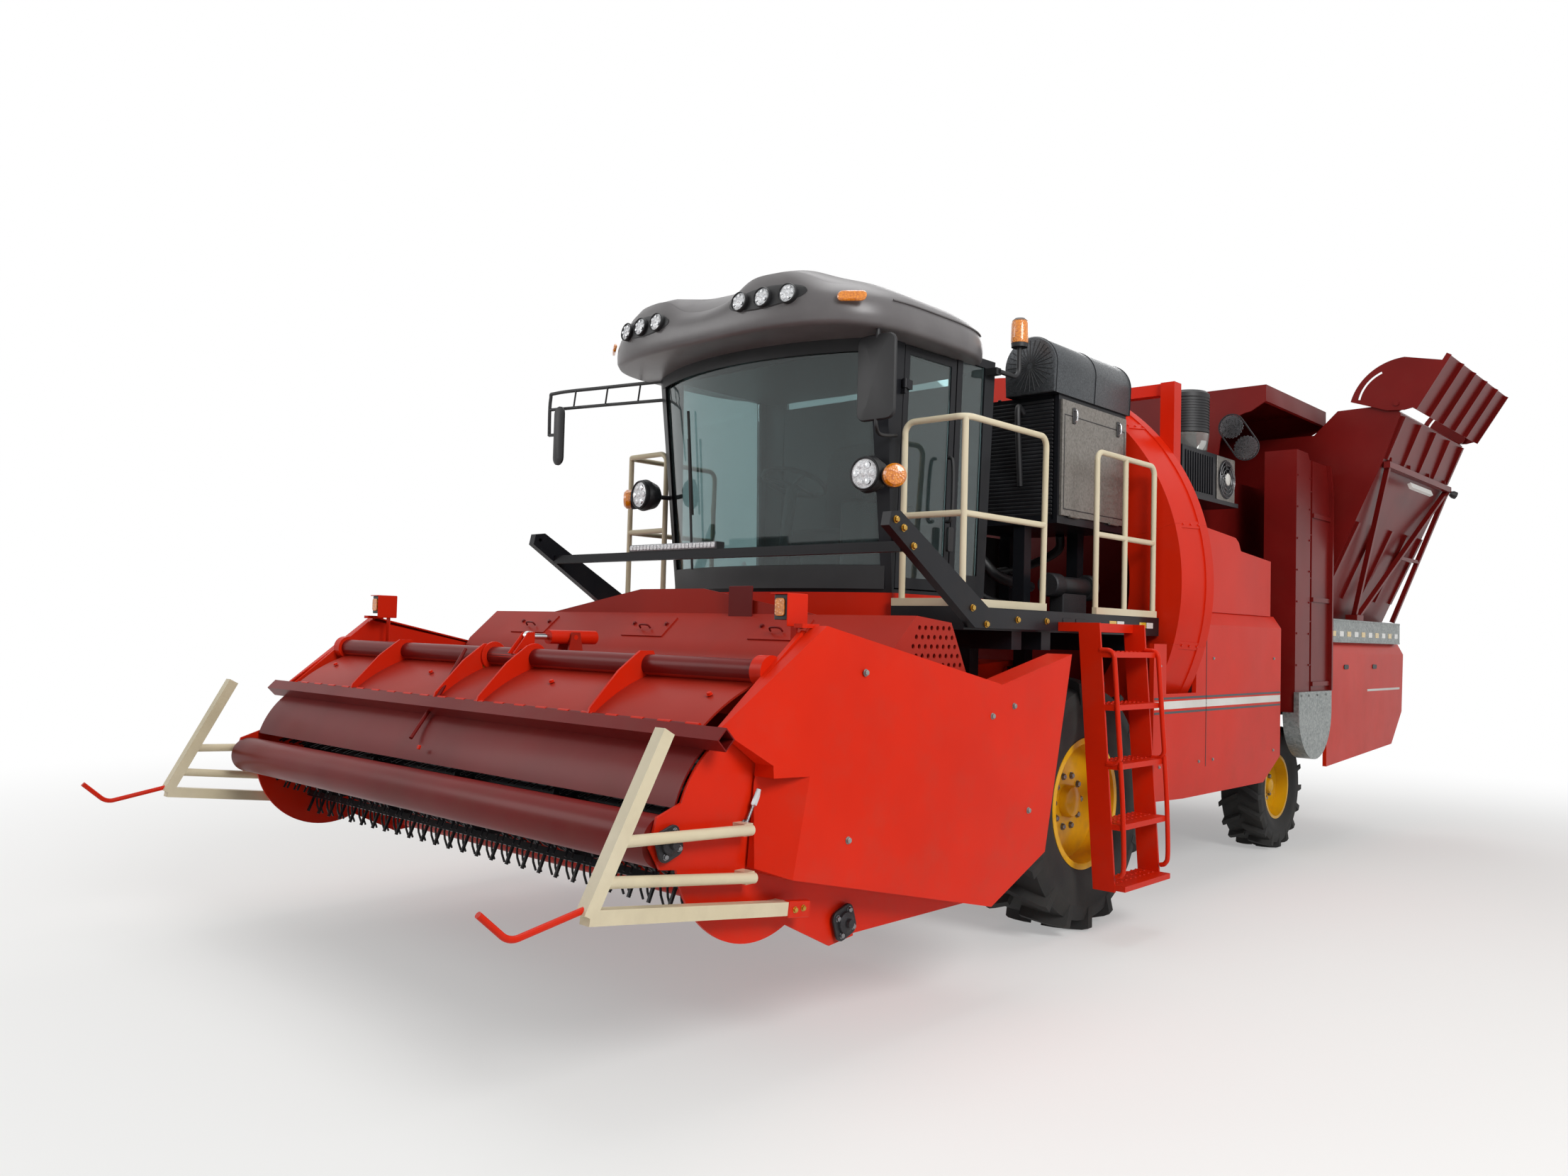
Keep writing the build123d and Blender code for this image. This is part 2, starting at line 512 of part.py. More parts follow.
def header_hood():
    """Folded hood over the belts, its end guards and the deflector along its ridge."""
    outer = [(-2150, 1480), (-2150, 1500), (-2110, 1570), (-1920, 1740), (-1650, 1715), (-1520, 1480)]
    inner = [(-2142, 1470), (-2142, 1498), (-2103, 1566), (-1917, 1731), (-1656, 1707), (-1529, 1470)]
    shell = prism(outer, "x", -1640, 1640) - prism(inner, "x", -1700, 1700)
    guard = prism(outer, "x", 1632, 1640)
    holes = []
    for row in range(5):
        for step in range(-row // 2, 12):
            y, z = -2080 + step * 46 + row % 2 * 23, 1520 + row * 42
            if -2078 + (z - 1500) * 0.9 < y < -1560 - (z - 1500) * 0.42:
                holes.append(rod((1625, y, z), (1645, y, z), GUARD_HOLE_RADIUS))
    guards = both_sides(guard - holes)
    lids = [Plane(origin=(x, -2010, 1663), x_dir=(1, 0, 0), z_dir=(0, -0.667, 0.745)) * Box(330, 150, 8)
            for x in (-1100, -60, 900)]
    deflector = prism([(-1070, 1735), (1070, 1735), (250, 1870), (-250, 1870)], "y", -1915, -1905)
    foot = block((-1640, 1640), (-1600, -1520), (1400 + SEAT, 1482))
    inner_x = END_PLATE_OUTER - END_PLATE - SEAT
    sheet = prism([(-2835, 1436), (-2835, 1444), (-2148, 1490), (-2142, 1482)], "x", -inner_x, inner_x)
    x, (y, z) = COVER_CYLINDER_X, COVER_TRUNNION
    bracket = [(y - 60, 1445), (y - 24, z + 24), (y + 24, z + 24), (y + 60, 1455)]
    for side in (-1, 1):
        middle = x + side * (COVER_BARREL_RADIUS + RUN + 5)
        sheet += prism(bracket, "x", middle - 5, middle + 5)
    sheet -= rod((x - 100, y, z), (x + 100, y, z), 12 + SEAT)
    return shell + guards + deflector + foot + sheet + lids


def tine_drum():
    """Drum tube with its shafts; the swept space of the tines is filled by tine rows."""
    inner = END_PLATE_OUTER - END_PLATE - RUN
    drum = rod((-inner, DRUM_Y, DRUM_Z), (inner, DRUM_Y, DRUM_Z), DRUM_TUBE_RADIUS)
    shaft = rod((-END_PLATE_OUTER - 30, DRUM_Y, DRUM_Z), (END_PLATE_OUTER + 30, DRUM_Y, DRUM_Z), 34)
    reach = TINE_TIP_RADIUS
    row = block((-inner, inner), (-15, 15), (232, 264))
    tines = [Pos(-inner + 60 + step * TINE_PITCH, 0, (262 + reach) / 2) * Box(12, 12, reach - 262)
             for step in range(int((2 * inner - 120) / TINE_PITCH) + 1)]
    row = row + tines
    discs = [rod((x - 6, 0, 0), (x + 6, 0, 0), 236) for x in (-1500, -750, 0, 750, 1500)]
    rows = [Rot(360 / TINE_ROWS * turn + 22, 0, 0) * row for turn in range(TINE_ROWS)]
    return drum + shaft + [Pos(0, DRUM_Y, DRUM_Z) * piece for piece in discs + rows]


TINE_ROWS = 8
TINE_PITCH = 120


def flange_bearing(y, z):
    """Four-bolt bearing on the outside of the left end plate."""
    x = END_PLATE_OUTER + SEAT
    return turned_x([(x, 0), (x, 62), (x + 16, 62), (x + 22, 42), (x + 40, 36), (x + 40, 0)], y, z)


def front_roller():
    inner = END_PLATE_OUTER - END_PLATE - RUN
    roller = rod((-inner, ROLLER_Y, ROLLER_Z), (inner, ROLLER_Y, ROLLER_Z), ROLLER_RADIUS)
    return roller + rod((-END_PLATE_OUTER - 30, ROLLER_Y, ROLLER_Z), (END_PLATE_OUTER + 30, ROLLER_Y, ROLLER_Z),
                        26 - SEAT)


def belt_roller():
    """Front roller of the header's belts, held in the end plates."""
    inner = END_PLATE_OUTER - END_PLATE - SEAT
    return rod((-inner, BELT_ROLLER_Y, BELT_ROLLER_Z), (inner, BELT_ROLLER_Y, BELT_ROLLER_Z), BELT_ROLLER_RADIUS)


SHIELD_OUTLINE = [(-3205, 1300), (-2700, 1680), (-1540, 1440), (-910, 1580), (-1140, 640), (-1600, 450),
                  (-2930, 750), (-3030, 790), (-3000, 1165)]
# Each fold of the shield: the heights between which it lies, and three points (x, y, z) on its outer face
SHIELD_FOLDS = (
    (1120, 1800, (SHIELD_OUTER, -2850, 1120), (SHIELD_OUTER, -1540, 1440), (SHIELD_OUTER - 62, -2700, 1680)),
    (1120, 1800, (SHIELD_OUTER, -2850, 1120), (SHIELD_OUTER - 62, -2700, 1680), (SHIELD_OUTER - 122, -3205, 1300)),
    (400, 1120, (SHIELD_OUTER, -2930, 750), (SHIELD_OUTER, -2850, 1120), (SHIELD_OUTER - 100, -3030, 790)),
)


def folded_slab(inner_x, inset):
    """Slab with the shield's outline and folds, all its faces moved in by the inset."""
    face = Polygon(*SHIELD_OUTLINE, align=None)
    slab = prism(offset(face, -inset) if inset else face, "x", inner_x, SHIELD_OUTER - inset)
    for low, high, a, b, c in SHIELD_FOLDS:
        origin = Vector(*a)
        normal = (Vector(*b) - origin).cross(Vector(*c) - origin).normalized()
        if normal.X < 0:
            normal = normal * -1
        beyond = Plane(origin=origin - normal * inset, z_dir=normal) * Pos(0, 0, 1500) * Box(9000, 9000, 3000)
        slab -= beyond & block((0, 4000), (-5000, 0), (low, high))
    return slab


def end_shield():
    """Left end shield: a folded tray open to the header."""
    tray = folded_slab(SHIELD_INNER, 0) - folded_slab(SHIELD_INNER - 20, SHIELD_SHEET)
    struts = Part()
    for y, z in ((-2600, 1350), (-2500, 800), (-1700, 1250), (-1650, 700)):
        struts += rod((END_PLATE_OUTER + SEAT, y, z), (SHIELD_INNER + 30, y, z), 16)
        struts += rod((SHIELD_INNER + 20, y, z), (SHIELD_OUTER - 10, y, z), 16) & folded_slab(SHIELD_INNER, 1)
    return tray + struts


def divider():
    """Left crop divider: slanted square tube, foot rail, guard rods and the curled lifter rod."""
    x = DIVIDER_X
    post = bar((x, -3800, 740), (x, -3490, 1310), DIVIDER_TUBE, DIVIDER_TUBE)
    foot = bar((x, -3800, 740), (x, -2860, 625), DIVIDER_TUBE, DIVIDER_TUBE)
    rods = rod((x, -3690, 960), (x, -3060, 935), 20) + rod((x, -3750, 840), (x, -3040, 760), 20)
    hook = bent_tube([(x, -3800, 765), (x, -4080, 712), (x, -4190, 810)], 11, 70)
    pads = Part()
    for y, z in ((-3075, 936), (-3060, 762), (-2880, 627)):
        pads += block((END_PLATE_OUTER + SEAT, x), (y - 22, y + 22), (z - 22, z + 22))
    return post + foot + rods + hook + pads


def lift_barrels():
    """Barrels of the two header lift cylinders, hinged under the front axle."""
    y, z = BARREL_EYE
    ty, tz = ROD_EYE
    length = hypot(ty - y, tz - z)
    dy, dz = (ty - y) / length, (tz - z) / length
    x = LIFT_CYLINDER_X
    barrel = rod((x, y + dy * 64, z + dz * 64), (x, y + dy * length * 0.58, z + dz * length * 0.58), BARREL_RADIUS)
    barrel += rod((x, y + dy * 34, z + dz * 34), (x, y + dy * 66, z + dz * 66), BARREL_RADIUS - 20)
    barrel += rod((x - 24, y, z), (x + 24, y, z), CYLINDER_EYE_RADIUS)
    barrel -= rod((x, y + dy * 90, z + dz * 90), (x, ty, tz), PISTON_ROD_RADIUS + SEAT)
    barrel -= rod((x - 40, y, z), (x + 40, y, z), EYE_PIN_RADIUS + SEAT)
    return both_sides(barrel)


def lift_rods():
    y, z = BARREL_EYE
    ty, tz = ROD_EYE
    length = hypot(ty - y, tz - z)
    dy, dz = (ty - y) / length, (tz - z) / length
    x = LIFT_CYLINDER_X
    piston = rod((x, y + dy * length * 0.3, z + dz * length * 0.3),
                 (x, ty - dy * 30, tz - dz * 30), PISTON_ROD_RADIUS)
    piston += rod((x - 24, ty, tz), (x + 24, ty, tz), OPEN_EYE_OUTSIDE)
    piston -= rod((x - 40, ty, tz), (x + 40, ty, tz), OPEN_EYE_RADIUS)
    return both_sides(piston)


def lift_brackets():
    """Ears and pins on the front axle that carry the lift cylinders' barrels."""
    y, z = BARREL_EYE
    x = LIFT_CYLINDER_X
    ears = Part()
    for at in (x - 42, x + 30):
        ears += prism([(-AXLE_HALF_DEPTH + 1, z - 50), (y - 40, z - 30), (y - 40, z + 34),
                       (-AXLE_HALF_DEPTH + 1, z + 120)], "x", at, at + 12)
    return both_sides(ears + rod((x - 42, y, z), (x + 42, y, z), EYE_PIN_RADIUS))


# Cab: the outline at the floor and at the roof, each bowed at the front
#                  z,        half width rear, half width front, rear y, corner y, bow y
CAB_SECTIONS = ((CAB_FLOOR, 900, 870, -250, -1100, -1310), (CAB_TOP, 940, 910, -230, -1250, -1490))


def cab_solid(inset):
    """Solid cab body, drawn in from the outside by the inset."""
    faces = []
    for z, rear_half, front_half, rear, corner, bow in CAB_SECTIONS:
        r, c = rear_half - inset, front_half - inset
        back, front, nose = rear - inset, corner + inset, bow + inset
        lines = [Polyline((-c, front), (-r, back), (r, back), (c, front)).edges(),
                 ThreePointArc((c, front), (0, nose), (-c, front)).edges()]
        faces.append(Pos(0, 0, z) * make_face([edge for group in lines for edge in group]))
    return loft(faces, ruled=True)


def window_cuts():
    """Openings of the windscreen, left doorway, right window, left quarter and rear window."""
    low, high = CAB_FLOOR + 30, CAB_TOP - 50
    return {
        "windscreen": block((-820, 820), (-1700, -1000), (low, high)),
        "doorway": block((700, 1100), (-1085, -600), (low - 10, high)),
        "left_quarter": block((700, 1100), (-550, -330), (low + 100, high)),
        "right_window": block((-1100, -700), (-1085, -330), (low + 100, high)),
        "rear_window": block((-720, 720), (-320, -150), (low + 420, high)),
    }


def cab_shell():
    """Floor, pillars, sills and headers of the cab, open at every window and the doorway."""
    hollow = cab_solid(CAB_WALL) & block((-1200, 1200), (-1800, 0), (CAB_FLOOR + 20, CAB_TOP - 20))
    shell = cab_solid(0) - hollow
    for cut in window_cuts().values():
        shell -= cut
    x, y = DOOR_HINGE
    for height in DOOR_HINGE_HEIGHTS:
        arm = block((x - 70, x + 8), (y - 12, y + 8), (height - 40, height - 16)) - cab_solid(CAB_WALL - 5)
        shell += arm + rod((x, y, height - 40), (x, y, height + 36), 8)
    return shell


def pane(name):
    """Glass of one window, set in its opening 12 mm inside the cab's outer face."""
    skin = cab_solid(12) - cab_solid(12 + GLASS)
    (x0, y0, z0), (x1, y1, z1) = (tuple(corner) for corner in (
        window_cuts()[name].bounding_box().min, window_cuts()[name].bounding_box().max))
    grip = SEAT
    return skin & block((x0 + grip, x1 - grip), (y0 + grip, y1 - grip), (z0 + grip, z1 - grip))


DOOR_GAP = 8
DOOR_THICKNESS = 25
DOOR_HINGE = (925, -1095)
DOOR_HINGE_HEIGHTS = (2150, 3000)


def door_leaf():
    """Left door frame with its grab handle."""
    box = window_cuts()["doorway"].bounding_box()
    y = (box.min.Y + DOOR_GAP, box.max.Y - DOOR_GAP)
    z = (box.min.Z + DOOR_GAP, box.max.Z - DOOR_GAP)
    leaf = (cab_solid(2) - cab_solid(2 + DOOR_THICKNESS)) & block((700, 1100), y, z)
    leaf -= block((700, 1100), (y[0] + 45, y[1] - 45), (z[0] + 60, z[1] - 45))
    x, hinge_y = DOOR_HINGE
    for height in DOOR_HINGE_HEIGHTS:
        knuckle_ring = rod((x, hinge_y, height - 10), (x, hinge_y, height + 40), 16)
        strap = block((x - 12, x + 4), (hinge_y, y[0] + 45), (height - 10, height + 40))
        foot = block((x - 50, x), (y[0] + 8, y[0] + 44), (height - 10, height + 40)) - cab_solid(10)
        leaf += knuckle_ring + strap + foot
        leaf -= rod((x, hinge_y, height - 20), (x, hinge_y, height + 50), 8 + SEAT)
    return leaf


def door_pane():
    box = window_cuts()["doorway"].bounding_box()
    y = (box.min.Y + DOOR_GAP + 45 + SEAT, box.max.Y - DOOR_GAP - 45 - SEAT)
    z = (box.min.Z + DOOR_GAP + 60 + SEAT, box.max.Z - DOOR_GAP - 45 - SEAT)
    return (cab_solid(10) - cab_solid(10 + GLASS)) & block((700, 1100), y, z)


def cab_roof():
    """Moulded roof: domed cap with an overhanging brow and two raised lamp pods."""
    w = ROOF_HALF_WIDTH
    outline = make_face([*Polyline((-w + 120, -150), (w - 120, -150)).edges(),
                         *ThreePointArc((w - 120, -150), (w - 35, -185), (w, -270)).edges(),
                         *Line((w, -270), (w, -1420)).edges(),
                         *ThreePointArc((w, -1420), (w - 90, -1620), (w - 300, -1700)).edges(),
                         *ThreePointArc((w - 300, -1700), (0, -1740), (-w + 300, -1700)).edges(),
                         *ThreePointArc((-w + 300, -1700), (-w + 90, -1620), (-w, -1420)).edges(),
                         *Line((-w, -1420), (-w, -270)).edges(),
                         *ThreePointArc((-w, -270), (-w + 35, -185), (-w + 120, -150)).edges()])
    slab = prism(outline, "z", CAB_TOP + SEAT, CAB_TOP + 420)
    crest = ThreePointArc((-150, 3400), (-900, ROOF_TOP), (-1790, 3420))
    dome = prism(make_face([*crest.edges(), *Polyline((-1790, 3420), (-1800, 3200), (-100, 3200),
                                                      (-150, 3400)).edges()]), "x", -w - 10, w + 10)
    arch = ThreePointArc((-w, 3400), (0, ROOF_TOP), (w, 3400))
    across = prism(make_face([*arch.edges(), *Polyline((w, 3400), (w, 3200), (-w, 3200), (-w, 3400)).edges()]),
                   "y", -1800, -100)
    pod = prism([(-1500, 3330), (-1690, 3330), (-1775, 3360), (-1790, 3440), (-1690, 3520), (-1500, 3560)],
                "x", 270, 700)
    brow = prism([(-1580, CAB_TOP + SEAT), (-1640, 3230), (-1655, 3340), (-1560, 3380)], "x", 700, w - 60)
    return (slab & dome & across) + both_sides(pod + brow)


def cab_base():
    """Red sill under the cab, bowed as the windscreen is."""
    face = make_face([*Polyline((-880, -1110), (-900, -250), (900, -250), (880, -1110)).edges(),
                      *ThreePointArc((880, -1110), (0, -1320), (-880, -1110)).edges()])
    return prism(face, "z", DECK_BOTTOM + SEAT, CAB_FLOOR - SEAT)


def cab_interior():
    """Driver's seat, steering column and side console seen through the glass."""
    floor = CAB_FLOOR + 20 + SEAT
    mat = block((-600, 600), (-1150, -320), (floor, floor + 12))
    seat = block((-230, 230), (-800, -380), (floor + 320, floor + 440))
    seat += block((-230, 230), (-400, -300), (floor + 400, floor + 950))
    seat += block((-160, 160), (-740, -420), (floor, floor + 330))
    console = block((300, 480), (-900, -350), (floor, floor + 560))
    column = rod((0, -1060, floor + 8), (0, -960, floor + 640), 40)
    wheel = Plane(origin=(0, -950, floor + 650), z_dir=(0, 0.35, 1)) * Torus(190, 14)
    spoke = Plane(origin=(0, -950, floor + 650), z_dir=(0, 0.35, 1)) * Box(380, 30, 14)
    return mat + seat + console + column + wheel + spoke


# Platforms, rails, ladder
def platform():
    """Left platform deck beside the cab, its front step-out and kick board."""
    face = [(905, -1150), (905, LIFT_FRONT - 8), (PLATFORM_HALF_WIDTH, LIFT_FRONT - 8), (PLATFORM_HALF_WIDTH, -1150)]
    deck = prism(face, "z", DECK_BOTTOM + SEAT, 1809 - SEAT)
    outside = PLATFORM_HALF_WIDTH
    boards = block((outside - 30, outside), (-1150, -330), (1809, 1850))
    boards += block((905, outside), (-1150, -1120), (1809, 1850))
    boards += block((outside - 30, outside), (250, 1060), (1809, 1850))
    return deck, boards


RAIL_TUBE = 17
RAIL_BASE = 1849


def front_rail():
    """L-shaped guard rail round the platform's front corner."""
    out = PLATFORM_HALF_WIDTH - 20
    base = RAIL_BASE
    top = bent_tube([(960, -1130, base), (960, -1130, 2790), (out, -1130, 2790), (out, -330, 2790),
                     (out, -345, base)], RAIL_TUBE, 60)
    turn_x, turn_y = out - 17.6, -1130 + 17.6
    mid = rod((960, -1130, 2290), (turn_x, turn_y, 2290), RAIL_TUBE) + rod((turn_x, turn_y, 2290), (out, -337, 2290), RAIL_TUBE)
    corner = rod((turn_x, turn_y, base), (turn_x, turn_y, 2790), RAIL_TUBE)
    return top + mid + corner


def rear_rail():
    out = PLATFORM_HALF_WIDTH - 20
    base = RAIL_BASE
    top = bent_tube([(out, 270, base), (out, 270, 2790), (out, 1040, 2790), (out, 1040, base)], RAIL_TUBE, 60)
    return top + rod((out, 270, 2290), (out, 1040, 2290), RAIL_TUBE) + rod((out, 640, base), (out, 640, 2790), RAIL_TUBE)


LADDER_TOP = (1495, 1750)
LADDER_FOOT = (1610, 290)
LADDER_FRONT = -200
LADDER_REAR = 360
STEP_HEIGHTS = (300, 625, 950, 1270, 1560)


def ladder():
    """Leaning ladder: two wide stiles, five treads and a handrail on each stile."""
    (top_x, top_z), (foot_x, foot_z) = LADDER_TOP, LADDER_FOOT
    stile = [(top_x, top_z), (foot_x, foot_z), (foot_x + 130, foot_z), (top_x + 130, top_z)]
    pieces = Part()
    for y in (LADDER_FRONT, LADDER_REAR - 14):
        pieces += prism(stile, "y", y, y + 14)
    for z in STEP_HEIGHTS:
        x = top_x + (foot_x - top_x) * (top_z - z) / (top_z - foot_z)
        pieces += block((x, x + 190), (LADDER_FRONT + 1, LADDER_REAR - 1), (z, z + 30))
    for y in (LADDER_FRONT + 7, LADDER_REAR - 7):
        pieces += bent_tube([(top_x + 135, y, 1600), (top_x + 215, y, 1600), (top_x + 265, y, 980),
                             (top_x + 185, y, 980)], 14, 45)
    hanger = block((PLATFORM_HALF_WIDTH + SEAT, top_x + 60), (LADDER_FRONT, LADDER_REAR), (1700, 1750))
    return pieces + hanger


ARM_EYE = (-1800, 2190)
ARM_EYE_RADIUS = 12.5
ARM_THICKNESS = 50


def guard_arm():
    """Black arm bolted to the platform's edge that reaches forward over the header."""
    x = PLATFORM_HALF_WIDTH + SEAT
    outline = [(-300, 1700), (-300, 1800), (-990, 1800), (-1765, 2235), (-1835, 2225), (-1850, 2160),
               (-1120, 1700)]
    y, z = ARM_EYE
    eye = rod((x - 5, y, z), (x + ARM_THICKNESS + 5, y, z), ARM_EYE_RADIUS)
    return prism(outline, "x", x, x + ARM_THICKNESS) - eye


def guard_bar():
    """Cross bar between the guard arms, with the long lamp bar on it."""
    x = PLATFORM_HALF_WIDTH
    bar_piece = block((-x, x), (-1695, -1645), (2050, 2100))
    lamp = block((-620, 120), (-1700, -1640), (2100 + SEAT, 2140))
    return bar_piece, lamp


# Power unit
def engine():
    return block((-800, 260), (100, 980), (DECK_BOTTOM + SEAT, 2350))


def radiator_box():
    """Radiator housing on its stand, with the round-topped dust hood above it."""
    box = block((300, 1135), (180, 1060), (RADIATOR_BOTTOM, 3150))
    hood_face = [(810, 3149), (810, 3330), (860, 3450), (980, 3500), (1100, 3450), (1150, 3330), (1150, 3149)]
    hood = prism(hood_face, "y", 110, 1080)
    return box + hood


RADIATOR_DOOR_HINGE = (1150, 2410)


def radiator_door():
    """Door sheet with the two hinge barrels along its lower edge."""
    x, z = RADIATOR_DOOR_HINGE
    barrels = rod((x, 300, z), (x, 420, z), 9) + rod((x, 820, z), (x, 940, z), 9)
    return block((1135 + SEAT, 1150), (200, 1040), (z, 3120)) + barrels


def lift_housing():
    """Ring housing of the lift wheel: closed segments bolted end to end, with an edge strip round each side."""
    slope = (LIFT_REAR_RADIUS - LIFT_RADIUS) / (LIFT_REAR - LIFT_FRONT)
    front, rear = LIFT_FRONT + 70, LIFT_REAR - 90
    near_front, near_rear = LIFT_RADIUS + slope * 70, LIFT_REAR_RADIUS - slope * 90
    outside = [(LIFT_FRONT, LIFT_INNER_RADIUS), (LIFT_FRONT, LIFT_RADIUS + 8), (front, near_front + 8),
               (front, near_front), (rear, near_rear), (rear, near_rear + 8), (LIFT_REAR, LIFT_REAR_RADIUS + 8),
               (LIFT_REAR, LIFT_INNER_RADIUS)]
    inside = [(LIFT_FRONT + 12, LIFT_INNER_RADIUS + 12), (LIFT_FRONT + 12, LIFT_RADIUS - 12),
              (LIFT_REAR - 12, LIFT_REAR_RADIUS - 12), (LIFT_REAR - 12, LIFT_INNER_RADIUS + 12)]
    ring, hollow = turned_y(outside, 0, LIFT_Z), turned_y(inside, 0, LIFT_Z)
    joints = [Pos(0, (LIFT_FRONT + LIFT_REAR) / 2, LIFT_Z) * Rot(0, (number + 0.5) * 360 / LIFT_SEGMENTS, 0)
              for number in range(LIFT_SEGMENTS // 2)]
    span, depth = 3 * LIFT_REAR_RADIUS, 2 * (LIFT_REAR - LIFT_FRONT)
    for joint in joints:
        hollow -= joint * Box(span, depth, 2 * LIFT_END_WALL)
    ring -= hollow
    for joint in joints:
        ring -= joint * Box(span, depth, 2 * SEAT)
    return ring


def side_panel():
    """Left body panel: folded sheet with its bevels, cut round the lift wheel housing."""
    w, t = BODY_HALF_WIDTH, PANEL_SHEET
    fold = [(w - 60, PANEL_TOP), (w, PANEL_TOP - 90), (w, 808), (w - 40, PANEL_BOTTOM), (w - 40 - t, PANEL_BOTTOM),
            (w - t, 808), (w - t, PANEL_TOP - 100), (w - 60 - t, PANEL_TOP - 10), (w - 60 - t, PANEL_TOP)]
    sheet = prism(fold, "y", 850, 3050)
    outline = [(860, 640), (860, 1640), (1040, 1640), (1040, 1320), (LIFT_REAR + 20, 1320), (LIFT_REAR + 20, PANEL_TOP),
               (3050, PANEL_TOP), (3050, 808), (2820, PANEL_BOTTOM), (1400, PANEL_BOTTOM)]
    return sheet & prism(outline, "x", w - 200, w + 10)


def rear_panel():
    """Left panel beside the bin's base."""
    w, t = BODY_HALF_WIDTH, PANEL_SHEET
    fold = [(w - 50, DECK_BOTTOM), (w, 1593), (w, 640), (w - t, 640), (w - t, 1583), (w - 50 - t, DECK_BOTTOM)]
    outline = [(4200, DECK_BOTTOM), (4110, 1350), (4110, 655), (5950, 748), (6280, 1045), (6320, 1590), (6320, DECK_BOTTOM)]
    return prism(fold, "y", 4000, 6400) & prism(outline, "x", w - 200, w + 10)


def side_box():
    """Stepped tank behind the lift wheel housing, on the body panel's top edge."""
    outline = [(LIFT_REAR + 20, PANEL_TOP + SEAT), (LIFT_REAR + 20, 2470), (2270, 2420), (2330, 2390), (2370, 2330),
               (2960, 2290), (2960, PANEL_TOP + SEAT)]
    return prism(outline, "x", 1040, BODY_HALF_WIDTH - 50)


def separator():
    """Housing of the cleaning section between the lift wheel and the bin."""
    box = block((-1150, 900), (LIFT_REAR + 120, BIN_FRONT - SEAT), (RAIL_TOP + SEAT, 3000))
    return box - block((-1120, 870), (LIFT_REAR + 150, BIN_FRONT - 30), (RAIL_TOP - 5, 2970))


def portal():
    """Portal frame behind the lift wheel housing."""
    post = block((1180, 1280), (LIFT_REAR + SEAT, LIFT_REAR + 20 - SEAT), (2600, 3440))
    post += block((1200, 1280), (LIFT_REAR + SEAT, LIFT_REAR + 110), (2471, 3440))
    beam = block((-1280, 1280), (LIFT_REAR + 30, LIFT_REAR + 110), (3360, 3440))
    foot = block((-1280, -1150 - SEAT), (LIFT_REAR + 60, 1690), (2471, 2600))
    return both_sides(post) + beam + foot


def cooler():
    """Cooler box with its round fan opening, on a shelf beside the separator."""
    box = block((900 + SEAT, 1200), (1800, 2740), (2720, 3060))
    shelf = block((900 + SEAT, 1230), (1780, 2742), (2690, 2721))
    opening = rod((1190, 2560, 2890), (1201, 2560, 2890), 150)
    box -= opening
    pre_cleaner = turned_z([(3060 + SEAT, 0), (3060 + SEAT, 150), (3200, 165), (3490, 165), (3520, 140), (3520, 0)], 1040, 2220)
    return box + shelf, pre_cleaner


TOWER_INNER = 1220
TOWER_OUTER = 1470
TOWER_FRONT = 3300
TOWER_REAR = 4100
BOOT_INNER = 1385
BOOT_OUTER = 1510


def tower():
    """Side elevator casing."""
    outline = [(TOWER_FRONT, 1130), (TOWER_FRONT, 3200), (TOWER_FRONT + 300, 3200), (TOWER_FRONT + 340, 3150),
               (TOWER_REAR - 80, 3150), (TOWER_REAR, 2910), (TOWER_REAR, 1300), (TOWER_REAR, 1130)]
    casing = prism(outline, "x", TOWER_INNER, TOWER_OUTER - 20)
    cover = [(TOWER_FRONT, 1130), (TOWER_FRONT, 3200), (TOWER_FRONT + 250, 3200), (TOWER_FRONT + 290, 3150),
             (TOWER_FRONT + 320, 3150), (TOWER_FRONT + 320, 1130)]
    casing += prism(cover, "x", TOWER_OUTER - 21, TOWER_OUTER)
    rear = [(TOWER_FRONT + 360, 1130), (TOWER_FRONT + 360, 3150), (TOWER_REAR - 80, 3150), (TOWER_REAR, 2910),
            (TOWER_REAR, 1130)]
    casing += prism(rear, "x", TOWER_OUTER - 21, TOWER_OUTER)
    flange = [(TOWER_REAR - 30, 1290), (TOWER_REAR - 30, 2890), (TOWER_REAR - 110, 3150), (TOWER_REAR - 80, 3150),
              (TOWER_REAR, 2910), (TOWER_REAR, 1290)]
    casing += prism(flange, "x", TOWER_OUTER - 1, TOWER_OUTER + 30)
    for z in (2690, 2010, 1330):
        casing += block((TOWER_OUTER - 1, TOWER_OUTER + 14), (TOWER_FRONT + 362, TOWER_REAR - 1), (z, z + 36))
    for z in (1500, 1850, 2200, 2550, 2900):
        casing += rod((TOWER_OUTER - 8, TOWER_FRONT + 318, z), (TOWER_OUTER - 8, TOWER_FRONT + 362, z), 6)
    return casing


def boot():
    """Round-bottomed boot of the side elevator."""
    middle = (TOWER_FRONT + TOWER_REAR) / 2 - 40
    radius = 380
    face = make_face([*Polyline((middle - radius, 1130), (middle - radius, 1290), (middle + radius, 1290),
                                (middle + radius, 1130)).edges(),
                      *ThreePointArc((middle + radius, 1130), (middle, 1130 - radius), (middle - radius, 1130)).edges()])
    plate = prism(face, "x", TOWER_OUTER + SEAT, BOOT_OUTER)
    pan = prism(face, "x", BOOT_INNER, TOWER_OUTER + 1) & block((0, 3000), (0, 9000), (0, 1130 - SEAT))
    return plate + pan


HOOD_RIGHT, HOOD_LEFT, HOOD_FRONT, HOOD_REAR, HOOD_TOP = -300, 1300, 3100, 4500, 3700


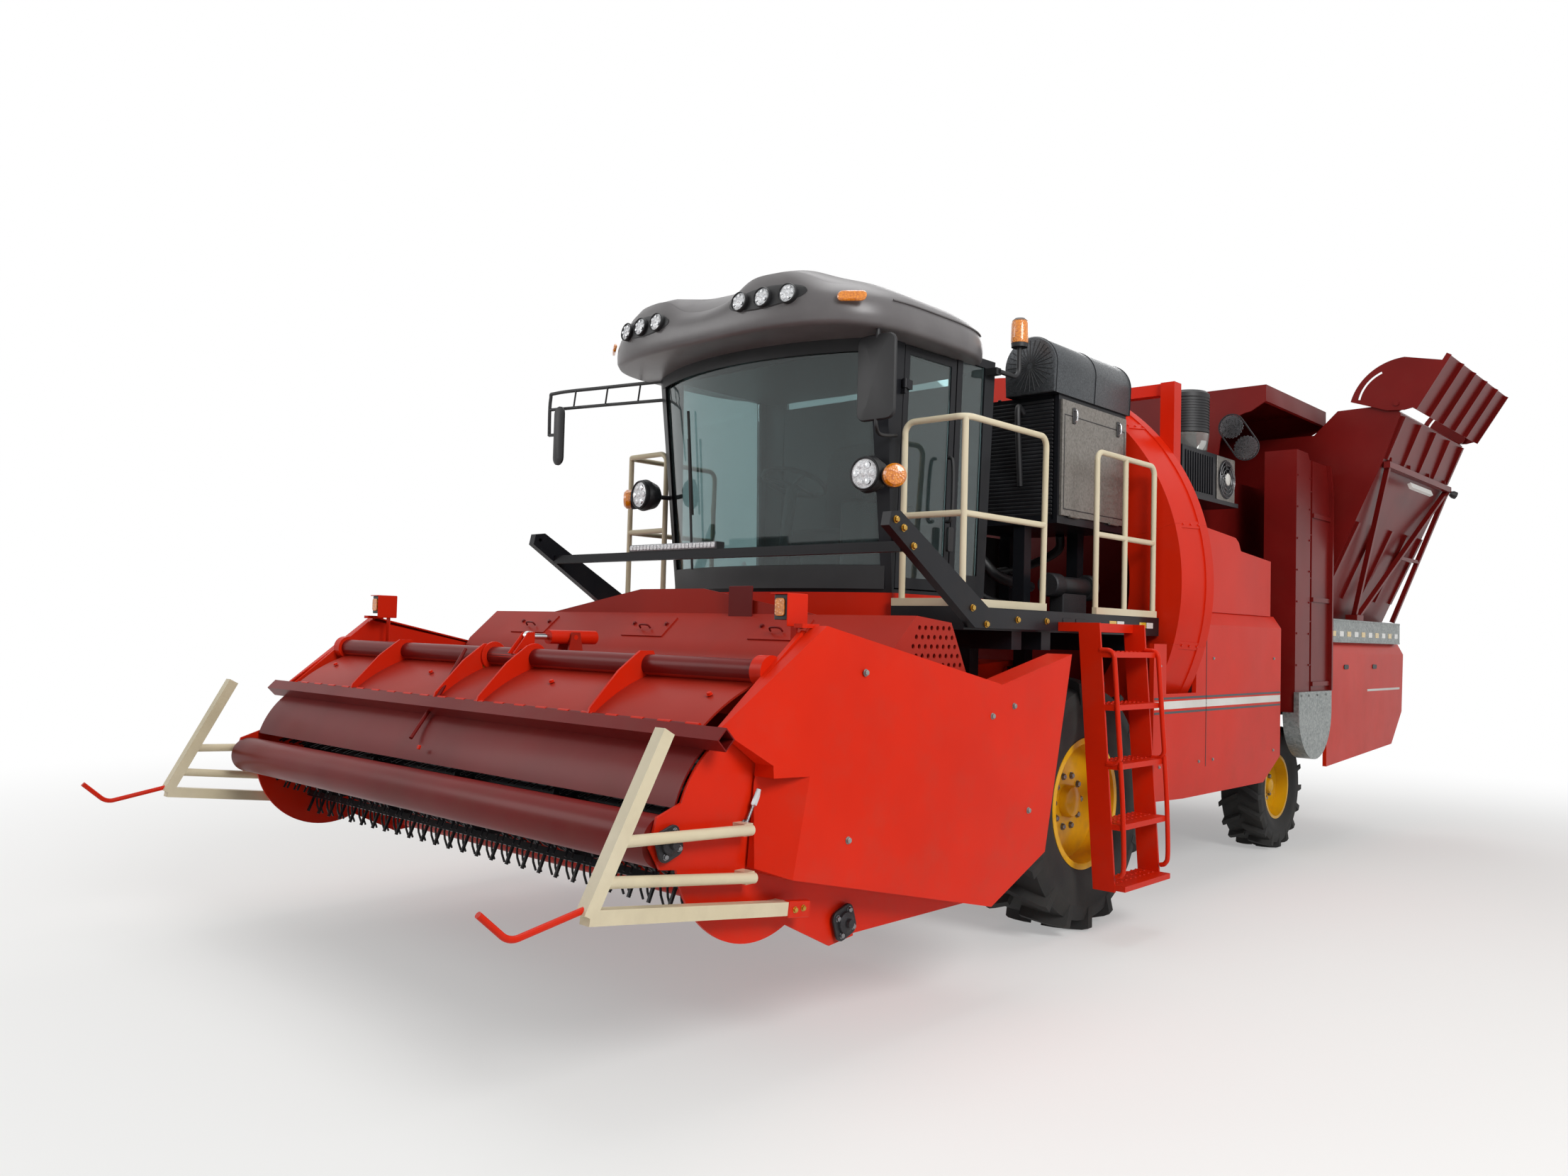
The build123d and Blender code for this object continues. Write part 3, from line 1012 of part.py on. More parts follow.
def transfer_hood():
    """Hood that leads from the separator to the bin, open below, with an arched front edge on the left."""
    base = 3000 + SEAT
    sweep_edge = ThreePointArc((1180, 3500), (1010, 3420), (930, 3240))
    front = make_face([*Polyline((930, 3240), (900, base), (HOOD_RIGHT, base), (HOOD_RIGHT, HOOD_TOP),
                                 (HOOD_LEFT, HOOD_TOP), (HOOD_LEFT, 3570), (1180, 3500)).edges(),
                       *sweep_edge.edges()])
    outside = prism(front, "y", HOOD_FRONT, HOOD_REAR)
    inside = [(HOOD_RIGHT + 20, base - 20), (HOOD_RIGHT + 20, HOOD_TOP - 20), (HOOD_LEFT - 16, HOOD_TOP - 20),
              (HOOD_LEFT - 16, 3400), (1300, base - 20)]
    hollow = prism(inside, "y", HOOD_FRONT + 16, HOOD_REAR - 16)
    over_bin = block((-1000, 2000), (BIN_FRONT - 10, HOOD_REAR + 10), (base - 100, BIN_RIM + 20))
    return outside - hollow - over_bin


def belt_drive():
    """Transfer belt's roller and the two chain wheels on their bearing plate."""
    plate = prism([(900 + SEAT, 2850), (900 + SEAT, 3400), (1290, 3400), (1400, 3200), (1400, 3060), (1210, 3040)],
                  "y", 2744, 2756)
    roller = rod((1200, 2650, 3310), (1200, 3600, 3310), 38)
    wheels = [(1200, 3310, 84), (1312, 3141, 84)]
    pieces = [plate, roller, rod((1312, 2650, 3141), (1312, 2790, 3141), 30)]
    for x, z, radius in wheels:
        pieces.append(rod((x, 2672, z), (x, 2704, z), radius))
        pieces.append(rod((x, 2655, z), (x, 2735, z), radius * 0.45))
    return pieces[0] + pieces[1:]


# Bin and unloading side
BIN_LEFT = ((1290, BIN_FLOOR), (1840, 3180), (1980, 3570))
BIN_RIGHT = -1400
BIN_RIM = 3450
FLAP_PIVOT = (1950, 3650)
FLAP_PIN_RADIUS = 22
SLOT_RADIUS = 290


def bin_shell():
    """Open hopper: end walls, right wall, floor and the sloping unloading floor."""
    outer = [(BIN_RIGHT, BIN_FLOOR), (BIN_RIGHT, BIN_RIM), (1300, BIN_RIM), (1490, 3640), (1900, 3650), BIN_LEFT[2],
             BIN_LEFT[1], BIN_LEFT[0]]
    body = prism(outer, "y", BIN_FRONT, BIN_REAR)
    hollow = [(BIN_RIGHT + BIN_WALL, BIN_FLOOR + BIN_WALL), (BIN_RIGHT + BIN_WALL, 4000), (1960, 4000), (1945, 3580),
              (1800, 3190), (1255, BIN_FLOOR + BIN_WALL)]
    (low_x, low_z), (mid_x, mid_z), (top_x, top_z) = BIN_LEFT
    for step in range(5):
        y = BIN_FRONT + 60 + step * (BIN_REAR - BIN_FRONT - 120) / 4
        body += bar((mid_x + 12, y, mid_z + 30), (top_x + 8, y, top_z - 20), 40, 36, side=(0, 1, 0))
        body += bar((low_x + 80, y, low_z + 180), (mid_x - 196, y, mid_z - 480), 50, 30, side=(0, 1, 0))
    for y in (BIN_FRONT + 500, BIN_FRONT + 1000, BIN_FRONT + 1500):
        body += block((BIN_RIGHT - 30, BIN_RIGHT + 1), (y - 25, y + 25), (BIN_FLOOR, BIN_RIM))
    for x in (-900, -300, 300, 900):
        body += block((x - 25, x + 25), (BIN_REAR - 1, BIN_REAR + 30), (BIN_FLOOR, BIN_RIM))
    px, pz = FLAP_PIVOT
    for wall in (BIN_FRONT, BIN_REAR - BIN_WALL):
        body += rod((px, wall, pz), (px, wall + BIN_WALL, pz), 60)
    body -= prism(hollow, "y", BIN_FRONT + BIN_WALL, BIN_REAR - BIN_WALL)
    for y0, y1 in ((BIN_FRONT - 34, BIN_FRONT + 1), (BIN_REAR - 1, BIN_REAR + 34)):
        body += rod((px, y0, pz), (px, y1, pz), FLAP_PIN_RADIUS)
    return body


def rear_deck():
    """Galvanised deck frame under the bin."""
    frame = block((-BODY_HALF_WIDTH, BODY_HALF_WIDTH), (BIN_FRONT, BIN_REAR), (DECK_BOTTOM + SEAT, DECK_TOP))
    return frame - block((-1200, 1200), (BIN_FRONT + 150, BIN_REAR - 150), (DECK_BOTTOM - 10, DECK_TOP + 10))


def unload_flap():
    """Tip panel with its ribs and the two fan-shaped cheeks that pivot on the bin's end walls."""
    px, pz = FLAP_PIVOT
    low, high = (2075, 3600), (2325, 4010)
    length = hypot(high[0] - low[0], high[1] - low[1])
    dx, dz = (high[0] - low[0]) / length, (high[1] - low[1]) / length
    nx, nz = dz, -dx
    sheet = [low, high, (high[0] - nx * 10, high[1] - nz * 10), (low[0] - nx * 10, low[1] - nz * 10)]
    panel = prism(sheet, "y", BIN_FRONT - 26, BIN_REAR + 26)
    rib = [low, high, (high[0] + nx * 30, high[1] + nz * 30), (low[0] + nx * 30, low[1] + nz * 30)]
    for step in range(6):
        y = BIN_FRONT - 26 + step * (BIN_REAR - BIN_FRONT + 40) / 5
        panel += prism(rib, "y", y, y + 12)
    edge = ThreePointArc((1600, 3700), (1745, 3925), (2010, 4025))
    cheek = make_face([*edge.edges(), *Polyline((2010, 4025), (high[0] - nx * 5 - dx * 60, high[1] - nz * 5 - dz * 60),
                                                (low[0] - nx * 5, low[1] - nz * 5), (2010, 3590), (1880, 3600),
                                                (1600, 3700)).edges()])
    cheek = prism(cheek, "y", 0, 8)
    slot = rod((px, -5, pz), (px, 15, pz), SLOT_RADIUS + 9) - rod((px, -6, pz), (px, 16, pz), SLOT_RADIUS - 9)
    wedge = [(px, pz)]
    for angle in (168, 140, 112):
        wedge.append((px + 900 * cos(radians(angle)), pz + 900 * sin(radians(angle))))
    cheek -= slot & prism(wedge, "y", -20, 20)
    cheeks = Pos(0, BIN_FRONT - 26, 0) * cheek + Pos(0, BIN_REAR + 18, 0) * cheek
    bore = rod((px, BIN_FRONT - 60, pz), (px, BIN_FRONT + 1, pz), FLAP_PIN_RADIUS + SEAT)
    bore += rod((px, BIN_REAR - 1, pz), (px, BIN_REAR + 60, pz), FLAP_PIN_RADIUS + SEAT)
    return panel + cheeks - bore


def unload_truss():
    """V-shaped strut frame from the deck's edge up to the beam under the unloading floor."""
    foot = (1400, 4990, DECK_TOP + SEAT)
    left, right = (1870, 4260, 3160), (1870, 6140, 3160)
    beam = bar((1870, BIN_FRONT + 20, 3160), (1870, BIN_REAR - 20, 3160), 50, 50)
    legs = bar((foot[0], foot[1] - 30, foot[2] + 10), left, 40, 40, side=(0, 1, 0))
    legs += bar((foot[0], foot[1] + 30, foot[2] + 10), right, 40, 40, side=(0, 1, 0))
    legs += bar((foot[0], BIN_REAR - 70, foot[2] + 10), (right[0], BIN_REAR - 60, right[2]), 40, 40, side=(0, 1, 0))
    legs += bar((1620, 5545, 2480), (1620, 6132, 2480), 30, 30)
    legs -= block((1200, 1500), (4800, BIN_REAR + 50), (DECK_TOP - 100, DECK_TOP + SEAT))
    shoe = block((1350, 1449), (foot[1] - 90, foot[1] + 90), (DECK_TOP + SEAT, DECK_TOP + 50))
    return beam + legs + shoe


def mirrors():
    """Left and right mirrors on their brackets."""
    left = block((850, 1100), (-1430, -1390), (2760, 3210))
    left += bent_tube([(850, -1190, 3250), (975, -1410, 3262), (975, -1410, 3150)], 12, 30) - cab_solid(-SEAT)
    right = block((-1800, -1690), (-1430, -1400), (2740, 3140))
    arms = bent_tube([(-850, -1200, 3240), (-1860, -1410, 3240), (-1860, -1410, 2950)], 12, 40)
    arms += rod((-840, -1190, 3120), (-1860, -1410, 3130), 12) + rod((-1860, -1410, 2960), (-1780, -1410, 2950), 12)
    right += arms - cab_solid(-SEAT)
    return left + right


def headlamp():
    lamp = turned_y([(-1390, 0), (-1390, 92), (-1360, 100), (-1290, 80), (-1250, 40), (-1250, 0)], 900, 2490)
    return lamp + (rod((900, -1260, 2490), (872, -1140, 2490), 14) - cab_solid(-SEAT))


def beacon():
    lamp = turned_z([(3400, 0), (3400, 48), (3430, 50), (3560, 46), (3575, 30), (3575, 0)], 1010, -80)
    pipe = bent_tube([(1010, -80, 3401), (1010, -80, 3215), (1010, -300, 3215)], 14, 60)
    return lamp + pipe + (block((900, 1012), (-330, -280), (3195, 3235)) - cab_solid(-SEAT))


def make_parts():
    parts = {}
    parts["chassis_frame"] = chassis_frame()
    parts["deck_supports"] = deck_supports()
    parts["front_axle"] = front_axle()
    parts["rear_axle"] = rear_axle()
    left_knuckle = knuckle()
    parts["knuckle_left"], parts["knuckle_right"] = left_knuckle, other_side(left_knuckle)
    wheels = {
        "front": (FRONT_X, 0, FRONT_TYRE_RADIUS, FRONT_TYRE_WIDTH, FRONT_RIM_RADIUS, FRONT_RIM_WIDTH,
                  FRONT_DISC_OFFSET, FRONT_LUG_HEIGHT),
        "rear": (REAR_X, WHEELBASE, REAR_TYRE_RADIUS, REAR_TYRE_WIDTH, REAR_RIM_RADIUS, REAR_RIM_WIDTH,
                 REAR_DISC_OFFSET, REAR_LUG_HEIGHT),
    }
    for place, (x, y, radius, width, rim_radius, rim_width, disc, height) in wheels.items():
        rubber = tyre(x, y, radius, width, rim_radius, rim_width, height, LUGS_PER_ROW)
        steel = rim(x, y, radius, width, rim_radius, rim_width, disc)
        parts[f"{place}_tyre_left"], parts[f"{place}_tyre_right"] = rubber, other_side(rubber)
        parts[f"{place}_rim_left"], parts[f"{place}_rim_right"] = steel, other_side(steel)
    parts["header_frame"] = header_frame()
    parts["feeder_house"] = feeder_house()
    parts["drum_cover"] = drum_cover()
    parts["header_hood"] = header_hood()
    parts["tine_drum"] = tine_drum()
    parts["front_roller"] = front_roller()
    parts["end_shields"] = both_sides(end_shield())
    parts["dividers"] = both_sides(divider())
    parts["cover_barrel"] = cover_barrel()
    parts["cover_rod"] = cover_rod()
    parts["lift_barrels"] = lift_barrels()
    parts["lift_rods"] = lift_rods()
    parts["cab_base"] = cab_base()
    parts["cab_shell"] = cab_shell()
    parts["cab_glass"] = pane("windscreen") + pane("left_quarter") + pane("right_window") + pane("rear_window")
    parts["cab_door"] = door_leaf()
    parts["door_glass"] = door_pane()
    parts["cab_roof"] = cab_roof()
    parts["cab_interior"] = cab_interior()
    deck, boards = platform()
    parts["platform_decks"] = both_sides(deck)
    parts["guard_rails"] = both_sides(front_rail() + rear_rail() + boards)
    parts["ladder"] = ladder()
    parts["guard_arms"] = both_sides(guard_arm())
    parts["guard_bar"], light_bar = guard_bar()
    parts["engine_block"] = engine()
    parts["radiator_box"] = radiator_box()
    parts["radiator_door"] = radiator_door()
    parts["lift_housing"] = lift_housing()
    parts["side_panels"] = both_sides(side_panel())
    parts["rear_panels"] = both_sides(rear_panel())
    parts["side_tank"] = side_box()
    parts["separator"] = separator()
    parts["portal"] = portal()
    parts["cooler"], parts["pre_cleaner"] = cooler()
    parts["elevator_tower"] = tower()
    parts["elevator_boot"] = boot()
    parts["transfer_hood"] = transfer_hood()
    parts["bin_shell"] = bin_shell()
    parts["rear_deck"] = rear_deck()
    parts["unload_flap"] = unload_flap()
    parts["unload_truss"] = unload_truss()
    parts["mirrors"] = mirrors()
    parts["lamps"] = both_sides(headlamp()) + beacon() + light_bar
    return parts


def centred(parts):
    """All pieces moved so that the middle of the footprint is at the origin."""
    boxes = [piece.bounding_box() for piece in parts.values()]
    mid_x = (min(box.min.X for box in boxes) + max(box.max.X for box in boxes)) / 2
    mid_y = (min(box.min.Y for box in boxes) + max(box.max.Y for box in boxes)) / 2
    return {name: Pos(-mid_x, -mid_y, 0) * piece for name, piece in parts.items()}, (mid_x, mid_y)


if __name__ == "__main__":
    os.makedirs("parts", exist_ok=True)
    placed, middle = centred(make_parts())
    for name, piece in placed.items():
        export_step(piece, f"parts/{name}.step")
    print("nodes", len(placed), "machine centre plane at X", -middle[0], "front axle at Y", -middle[1])
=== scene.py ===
import json
import logging
import math
from dataclasses import dataclass
from enum import Enum
from typing import Any

import bpy
import numpy as np
from mathutils import Matrix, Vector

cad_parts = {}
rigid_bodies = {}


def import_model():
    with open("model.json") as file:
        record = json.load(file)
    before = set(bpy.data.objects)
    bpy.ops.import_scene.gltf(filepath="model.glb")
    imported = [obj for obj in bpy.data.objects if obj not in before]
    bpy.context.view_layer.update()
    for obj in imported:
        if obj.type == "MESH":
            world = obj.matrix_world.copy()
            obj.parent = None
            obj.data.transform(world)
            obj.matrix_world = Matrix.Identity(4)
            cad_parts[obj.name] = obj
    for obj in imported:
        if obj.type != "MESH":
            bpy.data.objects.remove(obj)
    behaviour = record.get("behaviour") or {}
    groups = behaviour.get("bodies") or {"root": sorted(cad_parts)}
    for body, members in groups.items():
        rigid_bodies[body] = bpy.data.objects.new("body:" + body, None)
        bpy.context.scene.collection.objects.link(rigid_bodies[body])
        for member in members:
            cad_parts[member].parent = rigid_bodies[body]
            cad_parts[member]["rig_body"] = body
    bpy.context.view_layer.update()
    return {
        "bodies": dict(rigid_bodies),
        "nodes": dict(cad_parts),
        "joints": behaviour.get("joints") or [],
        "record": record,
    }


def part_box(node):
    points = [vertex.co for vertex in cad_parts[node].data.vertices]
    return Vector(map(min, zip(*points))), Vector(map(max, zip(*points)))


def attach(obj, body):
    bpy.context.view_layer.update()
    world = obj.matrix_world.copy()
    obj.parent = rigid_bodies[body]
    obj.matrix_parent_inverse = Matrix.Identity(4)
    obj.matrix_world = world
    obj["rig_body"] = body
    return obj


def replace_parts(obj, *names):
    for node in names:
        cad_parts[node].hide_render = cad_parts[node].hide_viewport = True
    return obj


LOG = logging.getLogger("harvester")
MM = 0.001

Tree, Node, Socket = bpy.types.NodeTree, bpy.types.Node, bpy.types.NodeSocket
Point = tuple[float, float, float]

# The machine's own axes: +X the driver's left, +Y the rear, +Z up. The front axle is at Y = 0, the ground at Z = 0.
LEFTWARD, REARWARD, UPWARD = (1, 0, 0), (0, 1, 0), (0, 0, 1)


# ---------------------------------------------------------------- finishes
def linear(code: str) -> tuple[float, float, float, float]:
    """Turn an sRGB hex colour into the linear RGBA that a shader socket takes.

    Args:
        code: Six hex digits, with or without a leading hash sign.

    Returns:
        Linear red, green, blue and an alpha of 1.
    """
    digits = code.lstrip("#")
    parts = [int(digits[i:i + 2], 16) / 255 for i in (0, 2, 4)]
    return (*[p / 12.92 if p <= 0.04045 else ((p + 0.055) / 1.055) ** 2.4 for p in parts], 1.0)


def add_node(tree: Tree, kind: str, settings: dict[str, Any] | None = None,
             links: dict[str, Any] | None = None) -> Node:
    """Add one shader node, set its options and input values, and link its inputs.

    Args:
        tree: The node tree that the node joins.
        kind: Blender's name of the node type.
        settings: Values by name; a name that is an input sets that socket, any other sets the node's option.
        links: Output sockets by the name of the input that they feed.

    Returns:
        The new node.
    """
    node = tree.nodes.new(kind)
    for name, value in (settings or {}).items():
        if hasattr(node, name) and name.islower():
            setattr(node, name, value)
        else:
            node.inputs[name].default_value = value
    for name, socket in (links or {}).items():
        tree.links.new(socket, node.inputs[int(name)] if name.isdigit() else node.inputs[name])
    return node


@dataclass(frozen=True)
class Finish:
    """What a surface is made of; each kind draws its own pattern from Object coordinates."""

    name: str
    colour: str
    second: str
    roughness: float = 0.4

    def material(self) -> bpy.types.Material:
        """Give the material of this finish, made the first time it is asked for.

        Returns:
            The material.
        """
        found = bpy.data.materials.get(self.name)
        if found:
            return found
        made = bpy.data.materials.new(self.name)
        made.use_nodes = True
        tree = made.node_tree
        tree.nodes.clear()
        out = add_node(tree, "ShaderNodeOutputMaterial")
        shader = add_node(tree, "ShaderNodeBsdfPrincipled", {"Roughness": self.roughness})
        tree.links.new(shader.outputs["BSDF"], out.inputs["Surface"])
        place = add_node(tree, "ShaderNodeTexCoord").outputs["Object"]
        self.draw(tree, shader, place)
        made.diffuse_color = linear(self.colour)
        return made

    def draw(self, tree: Tree, shader: Node, place: Socket) -> None:
        """Lay the finish's pattern on the shader; each kind of finish has its own.

        Args:
            tree: The material's node tree.
            shader: Its principled shader.
            place: Object coordinates, in metres.
        """
        raise NotImplementedError

    def mottle(self, tree: Tree, place: Socket, scale: float,
               low: float, high: float) -> Socket:
        """Blend the two colours by a noise.

        Args:
            tree: The material's node tree.
            place: Coordinates in metres.
            scale: Patches per metre.
            low: Noise value below which only the first colour shows.
            high: Noise value above which only the second colour shows.

        Returns:
            The colour socket.
        """
        noise = add_node(tree, "ShaderNodeTexNoise", {"Scale": scale, "Detail": 4.0}, {"Vector": place})
        ramp = add_node(tree, "ShaderNodeValToRGB", None, {"Fac": noise.outputs["Fac"]})
        ramp.color_ramp.elements[0].position = low
        ramp.color_ramp.elements[0].color = linear(self.colour)
        ramp.color_ramp.elements[1].position = high
        ramp.color_ramp.elements[1].color = linear(self.second)
        return ramp.outputs["Color"]

    def blend(self, tree: Tree, share: Socket) -> Socket:
        """Blend the two colours evenly by a pattern.

        Args:
            tree: The material's node tree.
            share: How much of the second colour shows, from 0 to 1.

        Returns:
            The colour socket.
        """
        mixed = add_node(tree, "ShaderNodeMix", {"data_type": "RGBA"}, {"0": share})
        mixed.inputs[6].default_value = linear(self.colour)
        mixed.inputs[7].default_value = linear(self.second)
        return mixed.outputs[2]

    def bump(self, tree: Tree, shader: Node, height: Socket,
             distance: float) -> None:
        """Raise the surface by a height pattern.

        Args:
            tree: The material's node tree.
            shader: Its principled shader.
            height: The pattern, from 0 to 1.
            distance: The height that a pattern of 1 stands for, in metres.
        """
        node = add_node(tree, "ShaderNodeBump", {"Distance": distance, "Strength": 1.0}, {"Height": height})
        tree.links.new(node.outputs["Normal"], shader.inputs["Normal"])


@dataclass(frozen=True)
class Enamel(Finish):
    """Enamel sprayed on sheet steel: glossy, with faint orange peel, oil-canned panels and road dust low down."""

    coat: float = 0.03
    dust: float = 0.1
    dust_colour: str = "#6E5A4A"
    dusty_below: float = 2.2
    dustiest_below: float = 0.3

    def draw(self, tree: Tree, shader: Node, place: Socket) -> None:
        """Mottle the paint, dust it towards the ground and lay two bumps: 4 mm orange peel and 0.5 m waves.

        Args:
            tree: The material's node tree.
            shader: Its principled shader.
            place: Object coordinates, in metres.
        """
        paint = self.mottle(tree, place, 1.6, 0.35, 0.75)
        height = add_node(tree, "ShaderNodeSeparateXYZ", None, {"Vector": place})
        low = add_node(tree, "ShaderNodeMapRange", {"From Min": self.dusty_below, "From Max": self.dustiest_below,
                                                     "To Min": 0.15, "To Max": 1.0}, {"Value": height.outputs["Z"]})
        grime = add_node(tree, "ShaderNodeTexNoise", {"Scale": 5.0, "Detail": 6.0, "Roughness": 0.65},
                         {"Vector": place})
        patch = add_node(tree, "ShaderNodeMapRange", {"From Min": 0.48, "From Max": 0.85, "To Min": 0.0,
                                                      "To Max": self.dust * 2.2}, {"Value": grime.outputs["Fac"]})
        share = add_node(tree, "ShaderNodeMath", {"operation": "MULTIPLY"},
                         {"0": patch.outputs["Result"], "1": low.outputs["Result"]})
        mixed = add_node(tree, "ShaderNodeMix", {"data_type": "RGBA"}, {"0": share.outputs["Value"], "6": paint})
        mixed.inputs[7].default_value = linear(self.dust_colour)
        tree.links.new(mixed.outputs[2], shader.inputs["Base Color"])
        gloss = add_node(tree, "ShaderNodeMapRange", {"To Min": self.roughness, "To Max": 0.75},
                         {"Value": share.outputs["Value"]})
        tree.links.new(gloss.outputs["Result"], shader.inputs["Roughness"])
        shader.inputs["Specular IOR Level"].default_value = 0.12
        shader.inputs["Coat Weight"].default_value = self.coat
        shader.inputs["Coat Roughness"].default_value = 0.15
        waves = add_node(tree, "ShaderNodeTexNoise", {"Scale": 2.0, "Detail": 1.0}, {"Vector": place})
        peel = add_node(tree, "ShaderNodeTexNoise", {"Scale": 260.0, "Detail": 1.0}, {"Vector": place})
        both = add_node(tree, "ShaderNodeMath", {"operation": "MULTIPLY_ADD"},
                        {"0": peel.outputs["Fac"], "2": waves.outputs["Fac"]})
        both.inputs[1].default_value = 0.012  # the peel's share of the height: 0.1 mm beside waves of 8 mm
        self.bump(tree, shader, both.outputs["Value"], 8 * MM)


@dataclass(frozen=True)
class Metal(Finish):
    """Bare metal: zinc spangle, ground steel, chrome or sand-cast iron, by the size of its grain."""

    grain_mm: float = 16.0
    depth_mm: float = 0.2
    metallic: float = 1.0

    def draw(self, tree: Tree, shader: Node, place: Socket) -> None:
        """Colour each crystal of the grain a little differently and roughen it by the same pattern.

        Args:
            tree: The material's node tree.
            shader: Its principled shader.
            place: Object coordinates, in metres.
        """
        cells = add_node(tree, "ShaderNodeTexVoronoi", {"Scale": 1000 / self.grain_mm}, {"Vector": place})
        tone = add_node(tree, "ShaderNodeSeparateColor", None, {"Color": cells.outputs["Color"]})
        tree.links.new(self.blend(tree, tone.outputs["Red"]), shader.inputs["Base Color"])
        rough = add_node(tree, "ShaderNodeMapRange", {"To Min": self.roughness * 0.8, "To Max": self.roughness * 1.25},
                         {"Value": tone.outputs["Green"]})
        tree.links.new(rough.outputs["Result"], shader.inputs["Roughness"])
        shader.inputs["Metallic"].default_value = self.metallic
        self.bump(tree, shader, cells.outputs["Distance"], self.depth_mm * MM)


@dataclass(frozen=True)
class Moulded(Finish):
    """Moulded plastic or rubber: dull, with a fine spark-eroded grain and greying in patches."""

    grain_mm: float = 1.5
    depth_mm: float = 0.25

    def draw(self, tree: Tree, shader: Node, place: Socket) -> None:
        """Mottle the two colours and emboss the grain.

        Args:
            tree: The material's node tree.
            shader: Its principled shader.
            place: Object coordinates, in metres.
        """
        tree.links.new(self.mottle(tree, place, 7.0, 0.42, 0.8), shader.inputs["Base Color"])
        grain = add_node(tree, "ShaderNodeTexNoise", {"Scale": 1000 / (3 * self.grain_mm), "Detail": 3.0},
                         {"Vector": place})
        self.bump(tree, shader, grain.outputs["Fac"], self.depth_mm * MM)


@dataclass(frozen=True)
class Glazing(Finish):
    """Tinted safety glass or a clear lens: smooth, with faint dust film."""

    clarity: float = 0.9

    def draw(self, tree: Tree, shader: Node, place: Socket) -> None:
        """Tint by the mottle and let light through by the clarity.

        Args:
            tree: The material's node tree.
            shader: Its principled shader.
            place: Object coordinates, in metres.
        """
        tree.links.new(self.mottle(tree, place, 1.3, 0.4, 0.8), shader.inputs["Base Color"])
        shader.inputs["Transmission Weight"].default_value = self.clarity
        shader.inputs["IOR"].default_value = 1.45


@dataclass(frozen=True)
class LampLens(Finish):
    """Pressed lens over a reflector: bright facets in a hexagonal pattern, glowing slightly."""

    facet_mm: float = 9.0
    glow: float = 0.15

    def draw(self, tree: Tree, shader: Node, place: Socket) -> None:
        """Shade each facet from its middle to its edge.

        Args:
            tree: The material's node tree.
            shader: Its principled shader.
            place: Object coordinates, in metres.
        """
        cells = add_node(tree, "ShaderNodeTexVoronoi", {"Scale": 1000 / self.facet_mm}, {"Vector": place})
        facets = self.blend(tree, cells.outputs["Distance"])
        tree.links.new(facets, shader.inputs["Base Color"])
        tree.links.new(facets, shader.inputs["Emission Color"])
        shader.inputs["Emission Strength"].default_value = self.glow
        shader.inputs["Coat Weight"].default_value = 1.0
        self.bump(tree, shader, cells.outputs["Distance"], 2 * MM)


@dataclass(frozen=True)
class Woven(Finish):
    """Woven seat cloth, its threads drawn 4 mm apart, coarser than the real 1 mm so that they show."""

    thread_mm: float = 4.0

    def draw(self, tree: Tree, shader: Node, place: Socket) -> None:
        """Cross two sets of bands for warp and weft.

        Args:
            tree: The material's node tree.
            shader: Its principled shader.
            place: Object coordinates, in metres.
        """
        scale = 1000 / self.thread_mm / 3
        warp = add_node(tree, "ShaderNodeTexWave", {"bands_direction": "X", "Scale": scale}, {"Vector": place})
        weft = add_node(tree, "ShaderNodeTexWave", {"bands_direction": "Z", "Scale": scale}, {"Vector": place})
        cloth = add_node(tree, "ShaderNodeMath", {"operation": "MULTIPLY"},
                         {"0": warp.outputs["Fac"], "1": weft.outputs["Fac"]})
        tree.links.new(self.blend(tree, cloth.outputs["Value"]), shader.inputs["Base Color"])
        self.bump(tree, shader, cloth.outputs["Value"], 0.8 * MM)


# Top coats sprayed on sheet steel. The main orange red stays bright. The duller red of the hood is that orange red
# with painted half shade, and the almost brown red of the roller, cover and hopper is mostly painted shade on it.
RED = Enamel("enamel_orange_red", "#D4260A", "#C62209", 0.36)
RED_IN_PAINTED_HALF_SHADE = Enamel("enamel_red_painted_half_shade", "#A5281A", "#932217", 0.38)
RED_IN_PAINTED_SHADE = Enamel("enamel_red_painted_shade", "#741614", "#62110F", 0.34)
# Black and grey on the frame and the stripes, cream on the rails, yellow on the rims, white on the stripes.
BLACK = Enamel("enamel_black", "#15161A", "#1D1E22", 0.4, 0.15, 0.08)
CREAM = Enamel("enamel_cream", "#DACFB4", "#CDC1A2", 0.4, 0.2, 0.12)
GREY = Enamel("enamel_grey", "#4A4D52", "#3C3F44", 0.42, 0.2, 0.12)
YELLOW = Enamel("enamel_yellow", "#E8B117", "#D79F12", 0.35, 0.3, 0.25)
WHITE = Enamel("enamel_white", "#E6E5E1", "#D4D2CC", 0.4, 0.2, 0.1)
# Hot-dip galvanised sheet shows its spangle; turned steel and chrome plate mirror; cast iron is matt and pitted.
ZINC = Metal("galvanised_sheet", "#9DA19F", "#7F8584", 0.42, 16, 0.05, 0.75)
STEEL = Metal("ground_steel", "#8C8C8E", "#77777A", 0.3, 6, 0.05)
CHROME = Metal("chrome_plate", "#DADBDD", "#CFD0D3", 0.09, 40, 0.01)
IRON = Metal("cast_iron", "#2C2C2E", "#38373A", 0.55, 3, 0.3, 0.6)
# The radiator's door is dull grey sheet, its hood punched sheet, and the bolts' yellow passivation looks like brass.
SHEET = Metal("door_sheet", "#8A8680", "#77736D", 0.45, 12, 0.04, 0.6)
PERFORATED = Metal("perforated_sheet", "#3C3F42", "#54575A", 0.4, 6, 0.3, 0.55)
PASSIVATED = Metal("yellow_zinc_plate", "#C7A052", "#AF8838", 0.3, 12, 0.02)
